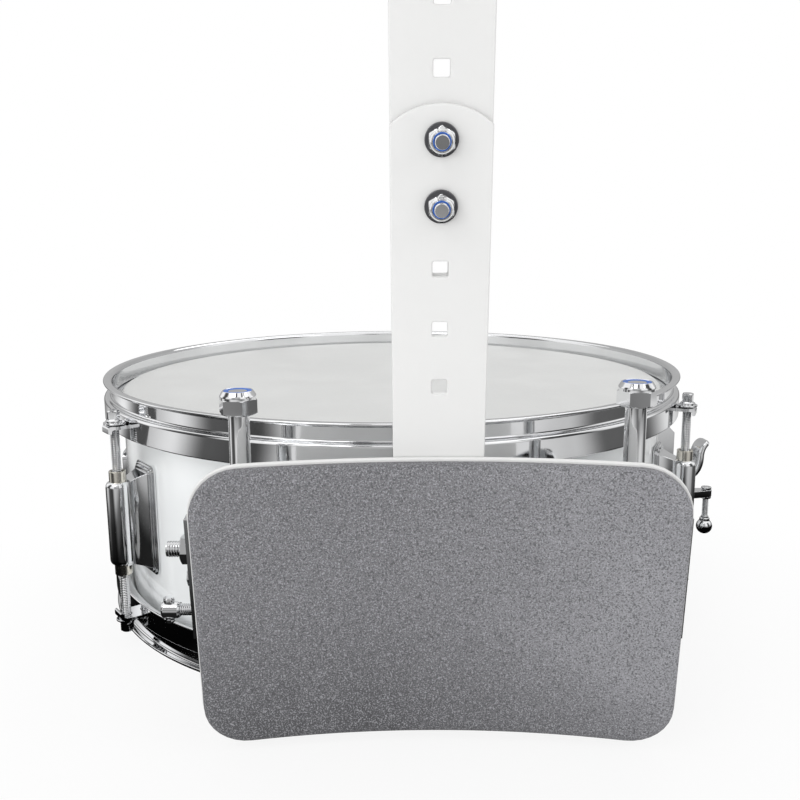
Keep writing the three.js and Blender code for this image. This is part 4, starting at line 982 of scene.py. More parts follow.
class MakeSnares(bpy.types.Operator):
    """Snare wires with their end plates, and the two straps"""
    bl_idname = "drum.make_snares"
    bl_label = "Snare Wires"
    bl_options = {"REGISTER", "UNDO"}

    def execute(self, context):
        s, f = drum_sizes(), finishes()
        level = WIRE_LEVEL - SHELL_MIDDLE.z
        span = 2 * (s.shell_radius - WIRE_INSET)
        places = [WIRE_SPACING * i - (WIRE_COUNT - 1) for i in range(WIRE_COUNT)]
        parts = [(strand(-span / 2, y, level, span), DRUM, 0) for y in places]
        for side in (-1, 1):
            plate = prism(rounded_box(10, 40, 1.2), -0.95, 0.95, 0.3)
            parts.append((plate, DRUM @ shift(side * (span / 2 + 4.2), 0, level), 1))
        add_piece("snare_coils", "wires", parts, [f.wire, f.chrome], "snare_wires")
        for node in ("butt_strap", "throw_off_strap"):
            body = "drum" if node == "butt_strap" else "carriage"
            eased_copy(f"woven_{node}", node, body, f.strap, 0.15)
        return {"FINISHED"}


def along_knots(knots, count):
    """Points on a smooth curve through the knots."""
    path = []
    for i in range(count + 1):
        t = i / count * (len(knots) - 1)
        k = min(int(t), len(knots) - 2)
        a, b, c, d = (Vector(knots[max(0, min(len(knots) - 1, k + j))]) for j in (-1, 0, 1, 2))
        u = t - k
        path.append(0.5 * (2 * b + (c - a) * u + (2 * a - 5 * b + 4 * c - d) * u * u
                           + (3 * b - a - 3 * c + d) * u ** 3))
    return path


LEVER_KNOTS = [(0, 3), (4.6, 4.2), (8.1, 6), (10.8, 9.6), (12.2, 13.5), (12.8, 17.5), (13.0, 21.6),
               (14.2, 25.6), (16.2, 28.3), (18, 30)]
LEVER_WIDTH = 16
LEVER_TIP = 0.86


def lever_parts():
    """Lever blade in the frame whose x leaves the drum's axis, and its boss at the origin."""
    path = along_knots(LEVER_KNOTS, 36)
    frames = []
    for i, place in enumerate(path):
        ahead = (path[min(i + 1, len(path) - 1)] - path[max(i - 1, 0)]).normalized()
        frames.append((Vector((place.x, 0, place.y)), Vector((0, 1, 0)), Vector((ahead.y, 0, -ahead.x))))

    def section(share):
        past = max(0.0, share - LEVER_TIP) / (1 - LEVER_TIP)
        fade = math.sqrt(max(0.0, 1 - past ** 2))
        wide = LEVER_WIDTH * (0.9 + 0.1 * math.sin(math.pi * share)) * max(0.16, fade)
        thick = (2.6 + 2.2 * math.sin(math.pi * share)) * max(0.3, fade ** 0.5)
        return rounded_box(wide, thick, min(wide, thick) * 0.42, 4, y=1.3 - thick / 2)

    blade = sweep(frames, section)
    boss = lathe(rounded([(2.3, -8), (5, -8), (5, 8), (2.3, 8)], [0, 0.8, 0.8, 0], 3), 32, closed=True)
    return [(blade, Matrix()), (boss, turn(90, "X"))]


BALL_RADIUS = 5.75
NECK_TOP = 13.7


class MakeThrowOff(bpy.types.Operator):
    """Throw-off with its lever, sliding carriage, clamp and tension knob, and the butt plate"""
    bl_idname = "drum.make_throw_off"
    bl_label = "Throw-off"
    bl_options = {"REGISTER", "UNDO"}

    def execute(self, context):
        f = finishes()
        for name, node, body, edge in (
                ("throw_off_housing", "throw_off_base", "drum", 0.6),
                ("throw_off_slide", "throw_off_carriage", "carriage", 0.6),
                ("throw_off_clamp", "strap_clamp", "carriage", 0.4),
                ("butt_housing", "butt_plate", "drum", 0.5),
                ("butt_clamp_bar", "butt_clamp", "drum", 0.4)):
            eased_copy(name, node, body, f.chrome, edge)
        at = shift(*joint_place("throw_off")) @ turn(DRUM_TURN, "Z")
        parts = [(solid, at @ place, 0) for solid, place in lever_parts()]
        add_piece("lever_blade", "lever", parts, f.chrome, "throw_off_lever")
        self.make_knob(f)
        return {"FINISHED"}

    def make_knob(self, f):
        """Ball knob with a stepped neck on its screw, and the rings above and below the arm."""
        axis = joint_place("snare_tension")
        stack = shift(axis.x, axis.y, 0)
        lowest, highest = (corner.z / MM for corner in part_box("snare_tension_knob"))
        ball = [(r, BALL_RADIUS + z) for r, z in arc(0, 0, BALL_RADIUS, -90, 50, 20)]
        neck = rounded([ball[-1], (3.6, 10.9), (3.6, 12.0), (2.7, 12.2), (2.7, 13.6), (2.2, NECK_TOP)],
                       [0, 0.5, 0.3, 0.3, 0.4, 0], 3, closed=False)
        knob = lathe([(0, 0)] + ball[1:] + neck[1:] + [(0, NECK_TOP)], 40)
        screw = thread(2.2, lowest + 11, highest, 0.9, 0.3, 18, 4)
        parts = [(knob, stack @ shift(z=lowest), 0), (screw, stack, 1)]
        for z in (highest - 1.8, highest - 8.65):
            parts.append((washer_ring(2.0, 3.6, 0, 1.75, sides=24), stack @ shift(z=z), 0))
        add_piece("tension_ball_knob", "knob", parts, [f.chrome, f.rod], "snare_tension_knob")


# Hanging hardware

def lock_nut(flats, height, collar, rise, ring, bore):
    """A lock nut from z = 0 up: hexagon, rolled collar and nylon ring, as (solid, finish) pairs."""
    top, floor = height + rise, height - 0.6
    rim = cornered([(ring, floor, 0), (collar, floor, 0), (collar + 0.1, height + rise * 0.3, rise * 0.6),
                    (ring + 0.5, top, 0.4), (ring, top - 0.2, 0.1)], 5)
    nylon = cornered([(bore, floor, 0), (ring + 0.05, floor, 0), (ring + 0.05, top - 0.1, 0.2),
                      (bore + 0.4, top - 0.2, 0.2), (bore, top - 0.5, 0)], 3)
    return [(hex_nut(flats, height), 0), (lathe(rim, 48, True), 0), (lathe(nylon, 48, True), 2)]


def washer_ring(inner, outer, low, high, edge=0.4, sides=32):
    """A turned ring between two heights, with eased edges."""
    return lathe(rounded([(inner, low), (outer, low), (outer, high), (inner, high)], edge, 3), sides, True)


def stud_end(radius, low, high, chamfer=0.9):
    """A turned stud with a chamfered, slightly dished end."""
    return lathe([(0, low), (radius, low), (radius, high - chamfer), (radius - chamfer * 0.8, high),
                  (radius - chamfer * 1.3, high - 0.05), (0, high - 0.35)], 40)


POST_FLATS = 16
POST_NUT_HEIGHT = 8
POST_NUT_RISE = 3.4
POST_NUT_TURNS = {"left": 22, "right": 28}
LOWER_NUT_LEVEL = 22
SLEEVE_LOW = 34.6
SLEEVE_BELOW_PIVOT = 40.6
PIVOT_FLATS = 13
PIVOT_NUT_HEIGHT = 6.5
PIVOT_STUB = 7


class MakePosts(bpy.types.Operator):
    """Threaded posts, their nuts with blue rings, the arms on the shell and the hanger blocks"""
    bl_idname = "drum.make_posts"
    bl_label = "Posts"
    bl_options = {"REGISTER", "UNDO"}

    def execute(self, context):
        s, f = drum_sizes(), finishes()
        for side in ("left", "right"):
            low, high = (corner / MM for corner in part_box(f"post_{side}"))
            x, y = (low.x + high.x) / 2, TILT_PIVOT.y
            at = shift(x, y, 0)
            nut_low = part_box(f"post_nut_{side}")[0].z / MM
            parts = [(stud_end(5, low.z, nut_low + POST_NUT_HEIGHT + POST_NUT_RISE - 0.4), at, 0)]
            top = TILT_PIVOT.z - SLEEVE_BELOW_PIVOT
            sleeve = rounded([(5.2, SLEEVE_LOW), (7.5, SLEEVE_LOW), (7.5, top), (5.2, top)], 0.5)
            parts.append((lathe(sleeve, 40, True), at, 0))
            parts.append((hex_nut(POST_FLATS, 7.9), at @ shift(z=LOWER_NUT_LEVEL), 0))
            add_piece(f"stud_{side}", "drum", parts, [f.chrome], f"post_{side}")
            base = shift(x, y, nut_low) @ turn(POST_NUT_TURNS[side], "Z")
            nut = lock_nut(POST_FLATS, POST_NUT_HEIGHT, 8.5, POST_NUT_RISE, 6.6, 4.6)
            parts = [(solid, base, number) for solid, number in nut]
            add_piece(f"lock_nut_{side}", "drum", parts, [f.chrome, f.chrome, f.blue],
                      f"post_nut_{side}")
            for level in ("upper", "lower"):
                arm = f"post_arm_{level}_{side}"
                eased_copy(f"arm_{level}_{side}", arm, "drum", f.chrome, 0.6)
            eased_copy(f"hanger_{side}", f"hanger_block_{side}", "drum", f.chrome, 0.7)
        return {"FINISHED"}


class MakePivots(bpy.types.Operator):
    """Pivot bolts, and the lock screw with its cross bar"""
    bl_idname = "drum.make_pivots"
    bl_label = "Pivots"
    bl_options = {"REGISTER", "UNDO"}

    def execute(self, context):
        f = finishes()
        low, high = (corner.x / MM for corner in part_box("pivot_bolt_left"))
        at = shift(0, TILT_PIVOT.y, TILT_PIVOT.z) @ turn(-90, "Y")
        nut = at @ shift(z=-low - PIVOT_STUB - PIVOT_NUT_HEIGHT)
        parts = [(thread(4, -high, -low, 1.25, 0.35, 24, 5), at, 1),
                 (hex_nut(PIVOT_FLATS, PIVOT_NUT_HEIGHT), nut, 0)]
        add_piece("pivot_bolt_and_nut", "drum", parts, [f.chrome, f.rod], "pivot_bolt_left")
        low, high = (corner.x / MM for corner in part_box("pivot_bolt_right"))
        at = shift(0, TILT_PIVOT.y, TILT_PIVOT.z) @ turn(90, "Y")
        head = [(0, 0), (3.2, -0.1), (5.6, -0.8), (6.8, -2.0), (7, -3.1), (4, -3.2), (4, low - high),
                (0, low - high)]
        head = lathe([(r, high + z) for r, z in head], 40)
        add_piece("pivot_bolt_round_head", "drum", [(head, at, 0)], [f.chrome], "pivot_bolt_right")
        self.make_lock_screw(f)
        return {"FINISHED"}

    def make_lock_screw(self, f):
        """Screw with a bored head, a collar against the flange and the bar through its head."""
        inner, outer = (-corner.x / MM for corner in reversed(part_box("tilt_lock_screw")))
        at = shift(0, TILT_PIVOT.y, joint_place("tilt_lock_turn").z) @ turn(-90, "Y")
        head = cornered([(0, outer - 9, 0), (3.6, outer - 9, 0.3), (4.2, outer - 8, 0.4),
                         (4.2, outer - 1, 0.6), (3.4, outer, 0.5), (0, outer, 0)], 3, closed=False)
        flange = outer - 9 - 8.6
        half_bar = [(2.0, 4.1), (2.7, 4.6), (2.7, 5.6), (2.2, 6.4), (0, 6.5)]
        bar = lathe([(r, -z) for r, z in reversed(half_bar)] + half_bar, 24)
        parts = [(thread(3, inner, outer - 1, 1.0, 0.3, 20, 5), at, 1), (lathe(head, 32), at, 0),
                 (washer_ring(3.05, 5.2, flange, flange + 1.7), at, 0),
                 (bar, at @ shift(z=outer - 3.6) @ turn(90, "Y"), 0)]
        add_piece("lock_screw_cross_bar", "tilt_lock", parts, [f.chrome, f.rod], "tilt_lock_screw")


# Harness

SHEET = 2.3
PAD_MARGIN = 1.3
PAD_GAP = 2.6
STUD_DROPS = (-40, -72)
BAR_THICK = 4
BAR_EDGE = 0.7
BAR_GAP = 4.3
BAR_FOOT = -92
UPPER_FOOT = 64
FIRST_HOLE = 32.2
HOLE_COUNT = 10
BAR_CROWN = 7.8
BAR_END = 13.2
BEND_REACH = 6
SHOULDER_SIDES = {"left": -95, "right": 95}
SHOULDER_BOLTS = (251, 275)
YOKE_BOLTS = (235.4, 260.8)
BOLT_HOLE = 3.2


def rolled_loft(width, height, corner, curve, profile, step=9.0):
    """A rounded sheet, X wide and Z tall with its top at z = 0, rolled to a radius about Z.
    profile lists (inset from the outline, depth y) from the front's middle line to the back's."""
    rings = []
    for inset, depth in profile:
        radius = max(corner - inset, 0.02)
        w, h = width / 2 - inset - radius, max(height / 2 - inset - radius, 0.0)
        turns = [arc(x, z, radius, start, start + 90)
                 for x, z, start in ((w, h, 0), (-w, h, 90), (-w, -h, 180), (w, -h, 270))]
        ring = []
        for i, corner_arc in enumerate(turns):
            end, ahead = Vector(corner_arc[-1]), Vector(turns[(i + 1) % 4][0])
            count = int((width if i % 2 == 0 else height) / step)
            ring += corner_arc + [tuple(end.lerp(ahead, k / count)) for k in range(1, count)]
        rings.append([(x, depth + math.sqrt((curve + depth) ** 2 - x * x) - curve - depth, z - height / 2)
                      for x, z in ring])
    bm = grid_solid(rings, capped=False)
    bmesh.ops.remove_doubles(bm, verts=bm.verts, dist=0.06)
    bmesh.ops.holes_fill(bm, edges=bm.edges, sides=0)
    bmesh.ops.recalc_face_normals(bm, faces=bm.faces)
    return bm


class MakeBellyPlate(bpy.types.Operator):
    """Rolled steel belly plate with its two studs, and the foam pad on it"""
    bl_idname = "drum.make_belly_plate"
    bl_label = "Belly Plate"
    bl_options = {"REGISTER", "UNDO"}

    def execute(self, context):
        h, f = harness_sizes(), finishes()
        inner = h.plate_height / 2
        steps = [60, 50, 40, 32, 24, 16, 10, 6, 3]
        front, back = -SHEET, 0.0
        rim = [(0.9, 0.0), (0.35, 0.2), (0.05, 0.6), (0.0, 1.15)]
        profile = [(inner, front)] + [(d, front) for d in steps] + [(d, front + z) for d, z in rim]
        profile += [(d, back - z) for d, z in reversed(rim[:-1])] + [(d, back) for d in reversed(steps)]
        profile.append((inner, back))
        sheet = rolled_loft(h.plate_width, h.plate_height, h.plate_corner, h.plate_curve, profile)
        parts = [(sheet, PLATE, 0)]
        for drop in STUD_DROPS:
            at = PLATE @ shift(0, 0, drop) @ turn(-90, "X")
            parts.append((thread(3, -1.1, 14.7, 1.0, 0.3, 20, 5), at, 1))
            parts.append((hex_nut(10, 5), at @ shift(z=7.9), 1))
        add_piece("rolled_plate", "carrier", parts, [f.paint, f.bolt], "belly_plate")
        self.make_pad(h, f)
        return {"FINISHED"}

    def make_pad(self, h, f):
        """Foam sheet a little smaller than the plate, its front edge skived to a short bevel."""
        width, height = h.plate_width - 2 * PAD_MARGIN, h.plate_height - 2 * PAD_MARGIN
        inner = height / 2
        front, back = -PAD_GAP - h.pad_thick, -PAD_GAP
        edge = [(4.6, 0.0), (3.8, 0.12), (2.8, 0.4), (1.8, 0.8), (1.0, 1.3), (0.4, 2.0), (0.1, 2.8),
                (0.0, 3.8)]
        profile = [(inner, front)] + [(d, front) for d in (60, 50, 40, 32, 25, 19, 14, 10, 7.5, 6, 5.2)]
        profile += [(d, front + z) for d, z in edge] + [(0.0, back - 0.4), (0.3, back)]
        profile += [(d, back) for d in (6, 14, 30, 50)] + [(inner, back)]
        pad = rolled_loft(width, height, h.plate_corner - PAD_MARGIN, h.plate_curve, profile, 6.0)
        parts = [(pad, PLATE @ shift(z=-PAD_MARGIN), 0)]
        piece = add_piece("belly_foam", "carrier", parts, f.foam, "belly_pad")


def crowned(width, low, top, rise):
    """Outline of a bar with a crowned top, in X and Y."""
    half = width / 2
    radius = (half ** 2 + rise ** 2) / (2 * rise)
    start = math.degrees(math.acos(half / radius))
    return [(-half, low), (half, low)] + arc(0, top - radius, radius, start, 180 - start, 18)


def stand(bm, depth=0.0):
    """Turns a flat solid upright: its y becomes z and its thickness goes back along y."""
    return bend(bm, lambda x, y, z: (x, depth + z, y))


class MakeBars(bpy.types.Operator):
    """Two upright bars with square holes, bolted one behind the other"""
    bl_idname = "drum.make_bars"
    bl_label = "Upright Bars"
    bl_options = {"REGISTER", "UNDO"}

    def execute(self, context):
        h, f = harness_sizes(), finishes()
        holes = [FIRST_HOLE + h.hole_pitch * i for i in range(HOLE_COUNT)]
        square = [rounded_box(h.hole_side, h.hole_side, 0.7, 2, y=z) for z in holes]
        outline = crowned(h.bar_width, BAR_FOOT, holes[4] + BAR_END, BAR_CROWN)
        studs = [circle(0, z, 3.4) for z in STUD_DROPS]
        lower = stand(slab(outline, square[:5] + studs, BAR_THICK, BAR_EDGE))
        cut_by(lower, [BEND_REACH * share for share in (-1, -0.5, 0, 0.5, 1)], (0, 0, 1))
        bend(lower, self.lean)
        add_piece("bar_with_bend", "carrier", [(lower, BARS, 0)], f.paint, "lower_bar")
        outline = crowned(h.bar_width, UPPER_FOOT, holes[9] + BAR_END, BAR_CROWN)
        upper = stand(slab(outline, square[2:8], BAR_THICK, BAR_EDGE), BAR_GAP)
        parts = [(upper, UPPER, 0)]
        for z in holes[8:]:
            parts += bar_bolt(UPPER @ shift(z=z), BAR_GAP + BAR_THICK)
        finish = [f.paint, f.bolt, f.washer, f.blue]
        add_piece("bar_to_yoke", "carrier", parts, finish, "upper_bar")
        finish = [f.paint, f.chrome, f.washer, f.blue]
        for i, z in enumerate(holes[3:5], 1):
            parts = bar_bolt(UPPER @ shift(z=z), BAR_GAP + BAR_THICK)
            add_piece(f"bar_clamp_bolt_{i}", "carrier", parts, finish, f"bar_bolt_{i}")
        return {"FINISHED"}

    @staticmethod
    def lean(x, y, z):
        """The lower bar upright below its bend, leaning back above it."""
        share = min(1.0, max(0.0, (z + BEND_REACH) / 2 / BEND_REACH))
        angle = math.radians(BAR_LEAN) * share
        if share >= 1:
            return x, y * math.cos(angle) - z * math.sin(angle), y * math.sin(angle) + z * math.cos(angle)
        return x, y - math.sin(angle / 2) * (z + BEND_REACH) * share * 0.5, z


def bar_bolt(at, stack):
    """Bolt, washer and lock nut through a stack whose front is y = 0, with the nut in front."""
    out = at @ turn(90, "X")
    parts = [(washer_ring(3.1, 6.6, CLEARANCE, 1.8, 0.45, 40), out, 2)]
    parts += [(solid, out @ shift(z=1.95), 3 if number == 2 else 1)
              for solid, number in lock_nut(10, 4.2, 4.75, 1.9, 3.5, 2.8)]
    parts.append((thread(2.9, -stack - 0.8, 10.9, 1.0, 0.3, 20, 5), out, 1))
    head = [(0, 3.0), (3.6, 2.95), (5.2, 2.2), (6.5, 1.0), (7, 0.2), (6.8, 0), (0, 0)]
    parts.append((lathe(head, 40), at @ shift(y=stack + CLEARANCE) @ turn(-90, "X"), 1))
    return parts


class MakeTiltBracket(bpy.types.Operator):
    """Bent bracket: a web behind the bar and a slotted flange down each end"""
    bl_idname = "drum.make_tilt_bracket"
    bl_label = "Tilt Bracket"
    bl_options = {"REGISTER", "UNDO"}

    def execute(self, context):
        f = finishes()
        eased_copy("bent_bracket", "tilt_bracket", "carrier", f.chrome, 0.6)
        return {"FINISHED"}


def shoulder_path(radius, start, end, foot, tail, steps=26):
    """Frames along a band over a shoulder, in the plane of Y and Z, its arc's middle at the origin."""
    path = []
    if foot > 0:
        path += [(Vector((0, radius, -foot * (1 - i / 5))), Vector((0, 1, 0))) for i in range(5)]
    for y, z in arc(0, 0, 1, start, end, steps):
        out = Vector((0, y, z))
        path.append((out * radius, out))
    base, out = path[-1]
    ahead = Vector((0, -out.z, out.y))
    path += [(base + ahead * tail * i / 5, out) for i in range(1, 6)]
    side = Vector((1, 0, 0))
    return [(place, side, out) for place, out in path]


BAND_THICK = 3.2
BAND_WIDTH = 38
BAND_FOOT = 62
BAND_TAIL = 46
SHOULDER_END = 155
SHOULDER_RISE = 305
PAD_WIDTH = 54
PAD_DEPTH = 12.8
PAD_BELOW_BAND = 6.9
YOKE_HALF = 116
YOKE_LOW = 240
YOKE_HIGH = 286
YOKE_DROP = 46
YOKE_DIP = 16.1


class MakeYoke(bpy.types.Operator):
    """Yoke plate, the bars bent over the shoulders and their foam pads"""
    bl_idname = "drum.make_yoke"
    bl_label = "Shoulder Yoke"
    bl_options = {"REGISTER", "UNDO"}

    def execute(self, context):
        h, f = harness_sizes(), finishes()
        self.make_plate(h, f)
        for name, x in SHOULDER_SIDES.items():
            centre = UPPER @ shift(x, BAR_GAP - h.shoulder_radius, SHOULDER_RISE)
            path = shoulder_path(h.shoulder_radius + BAND_THICK / 2, 0, SHOULDER_END, BAND_FOOT, BAND_TAIL)
            parts = [(sweep(path, self.band_section), centre, 0)]
            for z in SHOULDER_BOLTS:
                parts += bar_bolt(UPPER @ shift(x, 0, z), BAR_GAP + BAND_THICK)
            add_piece(f"bent_shoulder_{name}", "carrier", parts,
                      [f.paint, f.bolt, f.washer, f.blue], f"shoulder_bar_{name}")
            self.make_pad(name, centre, h, f)
        return {"FINISHED"}

    @staticmethod
    def band_section(share):
        """The band's section, narrowed to a round at both ends."""
        past = max(0.0, (share - 0.93) / 0.07, (0.05 - share) / 0.05)
        fade = math.sqrt(max(0.0, 1 - past ** 2))
        return rounded_box(BAND_WIDTH * (0.55 + 0.45 * fade), BAND_THICK, 1.1, 4)

    def make_plate(self, h, f):
        """Plate across the chest: a foot behind the bar, two arms and a hollow top edge."""
        half, bar, low, high = YOKE_HALF, h.bar_width / 2, YOKE_LOW, YOKE_HIGH
        foot, arm = low - YOKE_DROP, half - BAND_WIDTH - 2 * YOKE_DIP / 3
        right = cornered([(-bar, foot, 2), (bar, foot, 2), (bar, low, 15), (half, low, 15),
                          (half, high, 3)], 6, closed=False)
        dip = [(arm - 2 * arm * i / 24, high - YOKE_DIP * (1 - (1 - i / 12) ** 2)) for i in range(25)]
        left = cornered([(-half, high, 3), (-half, low, 15), (-bar, low, 15), (-bar, foot, 2)], 6,
                        closed=False)
        holes = [circle(x, z, BOLT_HOLE, 16) for x in SHOULDER_SIDES.values() for z in SHOULDER_BOLTS]
        holes += [circle(0, z, BOLT_HOLE, 16) for z in YOKE_BOLTS]
        plate = stand(slab(right + dip + left[:-1], holes, BAR_THICK, BAR_EDGE))
        add_piece("chest_plate", "carrier", [(plate, UPPER, 0)], f.paint, "yoke_plate")

    def make_pad(self, name, centre, h, f):
        path = shoulder_path(h.shoulder_radius - PAD_BELOW_BAND, 8, SHOULDER_END, 0, 30, 30)

        def section(share):
            end = min(1.0, share / 0.035, (1 - share) / 0.035)
            fade = 0.55 + 0.45 * math.sqrt(max(0.0, 1 - (1 - end) ** 2))
            return rounded_box(PAD_WIDTH * (0.94 + 0.06 * fade), PAD_DEPTH * fade, 4.4 * fade, 6)

        pad = sweep(path, section)
        piece = add_piece(f"shoulder_foam_{name}", "carrier", [(pad, centre, 0)], f.foam,
                          f"shoulder_pad_{name}")


# Stage, in metres

CAMERA_LENS = 41.42
CAMERA_PLACE = (-0.0096, -0.4983, 0.2435)
CAMERA_YAW = 0.64
CAMERA_PITCH = 11.11
CAMERA_ROLL = -0.33
LAMP_AIM = (0, 0.05, 0.12)
# Name, place, size and watts
LAMPS = [("Key Lamp", (-1.3, -1.7, 2.2), (1.6, 1.6), 17), ("Fill Lamp", (1.9, -0.9, 1.5), (1.4, 1.4), 8),
         ("Back Lamp", (0.6, 2.2, 2.0), (1.6, 1.2), 8), ("Low Lamp", (-1.0, -2.0, 0.45), (1.8, 0.8), 13)]
WRAP_RADIUS = 0.95
WRAP_HEIGHT = 0.9
# (share of a turn from the player's left, tone): a quarter is the player's side, a half is the right
RING_TONES = [(0.0, 0.85), (0.03, 0.1), (0.07, 0.06), (0.1, 0.9), (0.16, 1.0), (0.19, 0.4), (0.24, 0.5),
              (0.28, 0.38), (0.31, 1.0), (0.37, 0.95), (0.4, 0.1), (0.44, 0.05), (0.47, 0.85), (0.53, 1.0),
              (0.58, 0.5), (0.75, 0.42), (0.9, 0.5), (0.95, 1.0)]
TURN_TONES = [(0.0, 0.6), (0.035, 0.85), (0.08, 0.1), (0.13, 0.06), (0.17, 0.75), (0.22, 0.7), (0.3, 0.25),
              (0.37, 0.75), (0.42, 0.6), (0.46, 0.12), (0.52, 0.1), (0.58, 0.8), (0.66, 0.5), (0.75, 0.2),
              (0.86, 0.25), (0.925, 0.9), (0.965, 0.08)]
# (share of the ring's height, tone) and (share of its radius, tone)
RISE_TONES = [(0.0, 0.35), (0.12, 0.5), (0.25, 1.0), (1.0, 1.0)]
FLOOR_TONES = [(0.0, 0.01), (0.33, 0.02), (0.42, 0.15), (0.52, 0.7), (0.7, 1.0), (0.85, 1.0), (0.92, 0.65),
               (1.0, 0.5)]


def tone_ramp(tree, share, tones):
    """Grey tones along a share from 0 to 1, blended softly between the listed stops."""
    ramp = tree.nodes.new("ShaderNodeValToRGB")
    ramp.color_ramp.interpolation = "EASE"
    stops = ramp.color_ramp.elements
    while len(stops) < len(tones):
        stops.new(0.5)
    for stop, (at, tone) in zip(stops, tones):
        stop.position = at
        stop.color = (tone, tone, tone, 1)
    tree.links.new(share, ramp.inputs[0])
    return ramp.outputs[0]


def reflected_only(panel, fields):
    """Makes a surface that only reflections see, from two fields of tones that are multiplied."""
    material = bpy.data.materials.new(f"{panel.name} Tone")
    material.use_nodes = True
    tree = material.node_tree
    tree.nodes.clear()
    first, second = [tone_ramp(tree, share_of(tree), tones) for tones, share_of in fields]
    tone = math_node(tree, "MULTIPLY", first, second)
    glow = add_node(tree, "ShaderNodeEmission", Color=tone, Strength=1.0)
    out = tree.nodes.new("ShaderNodeOutputMaterial")
    tree.links.new(glow.outputs[0], out.inputs["Surface"])
    panel.data.materials.append(material)
    for flag in ("camera", "diffuse", "transmission", "volume_scatter", "shadow"):
        setattr(panel, f"visible_{flag}", False)


def share_round(tree):
    radial = {"gradient_type": "RADIAL"}
    return add_node(tree, "ShaderNodeTexGradient", radial, Vector=object_place(tree)).outputs["Fac"]


def share_up(tree):
    height = add_node(tree, "ShaderNodeSeparateXYZ", Vector=object_place(tree)).outputs["Z"]
    return math_node(tree, "DIVIDE", height, WRAP_HEIGHT)


def distance_out(tree):
    length_of = {"operation": "LENGTH"}
    return add_node(tree, "ShaderNodeVectorMath", length_of, i0=object_place(tree)).outputs["Value"]


def share_out(tree):
    return math_node(tree, "DIVIDE", distance_out(tree), WRAP_RADIUS)


def seen_directly(tree):
    """1 for rays of the camera, mirrors and clear things, 0 for the light that falls on surfaces."""
    rays = tree.nodes.new("ShaderNodeLightPath").outputs
    seen = math_node(tree, "MAXIMUM", rays["Is Camera Ray"], rays["Is Glossy Ray"])
    return math_node(tree, "MAXIMUM", seen, rays["Is Transmission Ray"])


def mix_shaders(tree, share, first, second, out):
    mix = tree.nodes.new("ShaderNodeMixShader")
    for socket, value in zip(mix.inputs, (share, first.outputs[0], second.outputs[0])):
        tree.links.new(value, socket)
    tree.links.new(mix.outputs[0], out.inputs["Surface"])


def lamp(name, place, size, power):
    data = bpy.data.lights.new(name, "AREA")
    data.shape = "RECTANGLE"
    data.size, data.size_y = size
    data.energy = power
    holder = new_object(name, data)
    holder.location = place
    holder.rotation_euler = (Vector(LAMP_AIM) - Vector(place)).to_track_quat("-Z", "Y").to_euler()


class MakeStage(bpy.types.Operator):
    """Camera at the photograph's angle, pale floor, soft lamps and the cards that chrome reflects"""
    bl_idname = "drum.make_stage"
    bl_label = "Stage"
    bl_options = {"REGISTER", "UNDO"}

    def execute(self, context):
        self.make_camera()
        self.make_world()
        self.make_floor()
        for name, place, size, watts in LAMPS:
            lamp(name, place, size, watts * context.scene.drum_stage.lamp)
        self.make_cards()
        return {"FINISHED"}

    def make_camera(self):
        data = bpy.data.cameras.new("Camera")
        data.sensor_width = 36
        data.lens = CAMERA_LENS
        data.clip_start = 0.02
        camera = new_object("Camera", data)
        aim = turn(CAMERA_YAW, "Z") @ turn(90 - CAMERA_PITCH, "X") @ turn(CAMERA_ROLL, "Z")
        camera.matrix_world = shift(*CAMERA_PLACE) @ aim
        bpy.context.scene.camera = camera
        bpy.context.scene.view_settings.view_transform = "Standard"

    def make_world(self):
        world = bpy.data.worlds.new("Studio")
        bpy.context.scene.world = world
        world.use_nodes = True
        tree = world.node_tree
        tree.nodes.clear()
        ambient = add_node(tree, "ShaderNodeBackground", Color=(1, 1, 1, 1),
                           Strength=bpy.context.scene.drum_stage.ambient)
        white = add_node(tree, "ShaderNodeBackground", Color=(1, 1, 1, 1), Strength=1.0)
        mix_shaders(tree, seen_directly(tree), ambient, white, tree.nodes.new("ShaderNodeOutputWorld"))

    def make_floor(self):
        radius = bpy.context.scene.drum_stage.floor_radius
        bm = bmesh.new()
        bmesh.ops.create_circle(bm, cap_ends=True, segments=64, radius=radius)
        floor = new_object("Floor", to_mesh(bm, "Floor"))
        floor.location.z = -0.0005
        material, tree, shader = start_finish("Pale Floor", (0.9, 0.9, 0.9), 0.7)
        shader.inputs["Specular IOR Level"].default_value = 0.1
        glow = add_node(tree, "ShaderNodeEmission", Color=(1, 1, 1, 1), Strength=1.0)
        far = ranged(tree, distance_out(tree), 0.16, 0.36, 0.86, 1)
        share = math_node(tree, "MULTIPLY", seen_directly(tree), far)
        out = next(n for n in tree.nodes if n.type == "OUTPUT_MATERIAL")
        mix_shaders(tree, share, shader, glow, out)
        floor.data.materials.append(material)

    def make_cards(self):
        """A ring of soft grey and white round the drum, and a toned floor, which only chrome shows."""
        for name, build, fields in (
                ("Reflection Ring", self.ring_mesh, ((RING_TONES, share_round), (RISE_TONES, share_up))),
                ("Reflection Floor", self.disc_mesh, ((TURN_TONES, share_round), (FLOOR_TONES, share_out)))):
            bm = bmesh.new()
            build(bm)
            panel = new_object(name, to_mesh(bm, name))
            panel.location = (SHELL_MIDDLE.x * MM, SHELL_MIDDLE.y * MM, 0.0002)
            reflected_only(panel, fields)

    def ring_mesh(self, bm):
        bmesh.ops.create_cone(bm, cap_ends=False, segments=96, radius1=WRAP_RADIUS, radius2=WRAP_RADIUS,
                              depth=WRAP_HEIGHT, matrix=shift(z=WRAP_HEIGHT / 2))

    def disc_mesh(self, bm):
        bmesh.ops.create_circle(bm, cap_ends=True, segments=96, radius=WRAP_RADIUS)


# Carried-over nodes, panel and registration

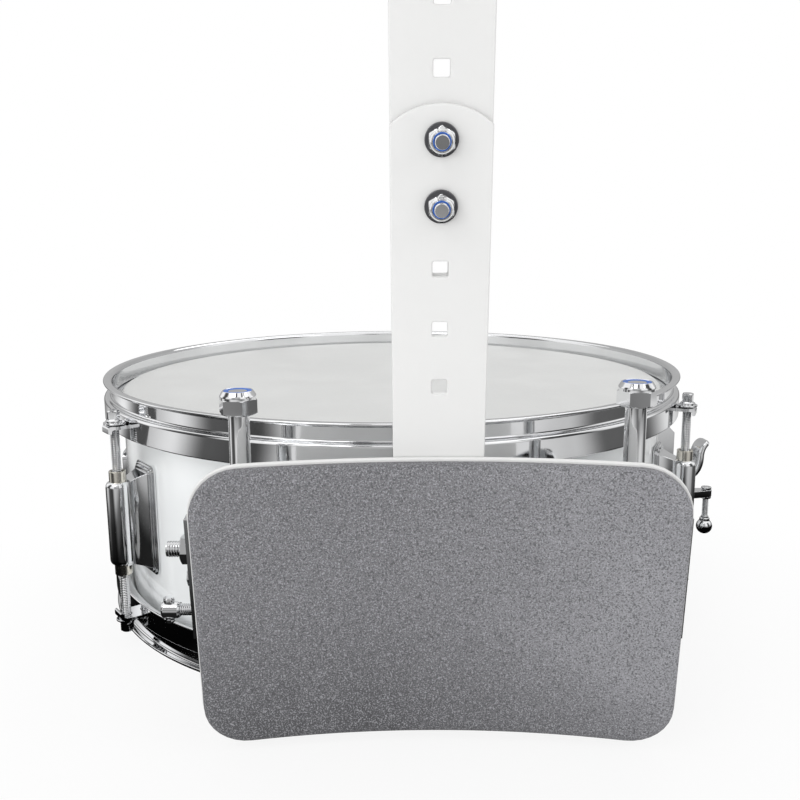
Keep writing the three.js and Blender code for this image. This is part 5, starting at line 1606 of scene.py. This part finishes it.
NODE_FINISHES = {"chrome": "chrome", "gloss_white": "shell", "coated_film": "film", "white_paint": "paint",
                 "foam": "foam", "dark_steel": "washer", "steel_wire": "wire", "strap": "strap"}


class DressNodes(bpy.types.Operator):
    """Gives each solid that stays its own finish"""
    bl_idname = "drum.dress_nodes"
    bl_label = "Carried Solids"
    bl_options = {"REGISTER", "UNDO"}

    def execute(self, context):
        f = finishes()
        for node in frame["nodes"].values():
            kept = node.data.materials[0].name.split(".")[0] if node.data.materials else "chrome"
            finish = getattr(f, NODE_FINISHES.get(kept, "chrome"))
            node.data.materials.clear()
            node.data.materials.append(finish)
        return {"FINISHED"}


MAKERS = [DressNodes, MakeShell, MakeHoops, MakeHeads, MakeRods, MakeLugs, MakeSnares, MakeThrowOff,
          MakePosts, MakePivots, MakeBellyPlate, MakeBars, MakeTiltBracket, MakeYoke, MakeStage]


class DrumPanel(bpy.types.Panel):
    """Sidebar panel with the sizes, colours and pieces"""
    bl_idname = "VIEW3D_PT_drum"
    bl_label = "Marching Drum"
    bl_space_type = "VIEW_3D"
    bl_region_type = "UI"
    bl_category = "Drum"

    def draw(self, context):
        layout = self.layout
        for group in ("drum_sizes", "harness_sizes", "drum_colours", "drum_stage"):
            settings = getattr(context.scene, group)
            box = layout.box()
            for name in settings.__annotations__:
                box.prop(settings, name)
        for maker in MAKERS:
            layout.operator(maker.bl_idname)


GROUPS = {"drum_sizes": DrumSizes, "harness_sizes": HarnessSizes, "drum_colours": DrumColours,
          "drum_stage": StageSettings}


def register():
    for group in GROUPS.values():
        bpy.utils.register_class(group)
    for maker in MAKERS:
        bpy.utils.register_class(maker)
    bpy.utils.register_class(DrumPanel)
    for name, group in GROUPS.items():
        setattr(bpy.types.Scene, name, bpy.props.PointerProperty(type=group))


def unregister():
    for name in GROUPS:
        delattr(bpy.types.Scene, name)
    bpy.utils.unregister_class(DrumPanel)
    for kind in [*reversed(MAKERS), *GROUPS.values()]:
        bpy.utils.unregister_class(kind)


def main():
    register()
    for maker in MAKERS:
        group, name = maker.bl_idname.split(".")
        getattr(getattr(bpy.ops, group), name)()


if __name__ == "__main__":
    main()
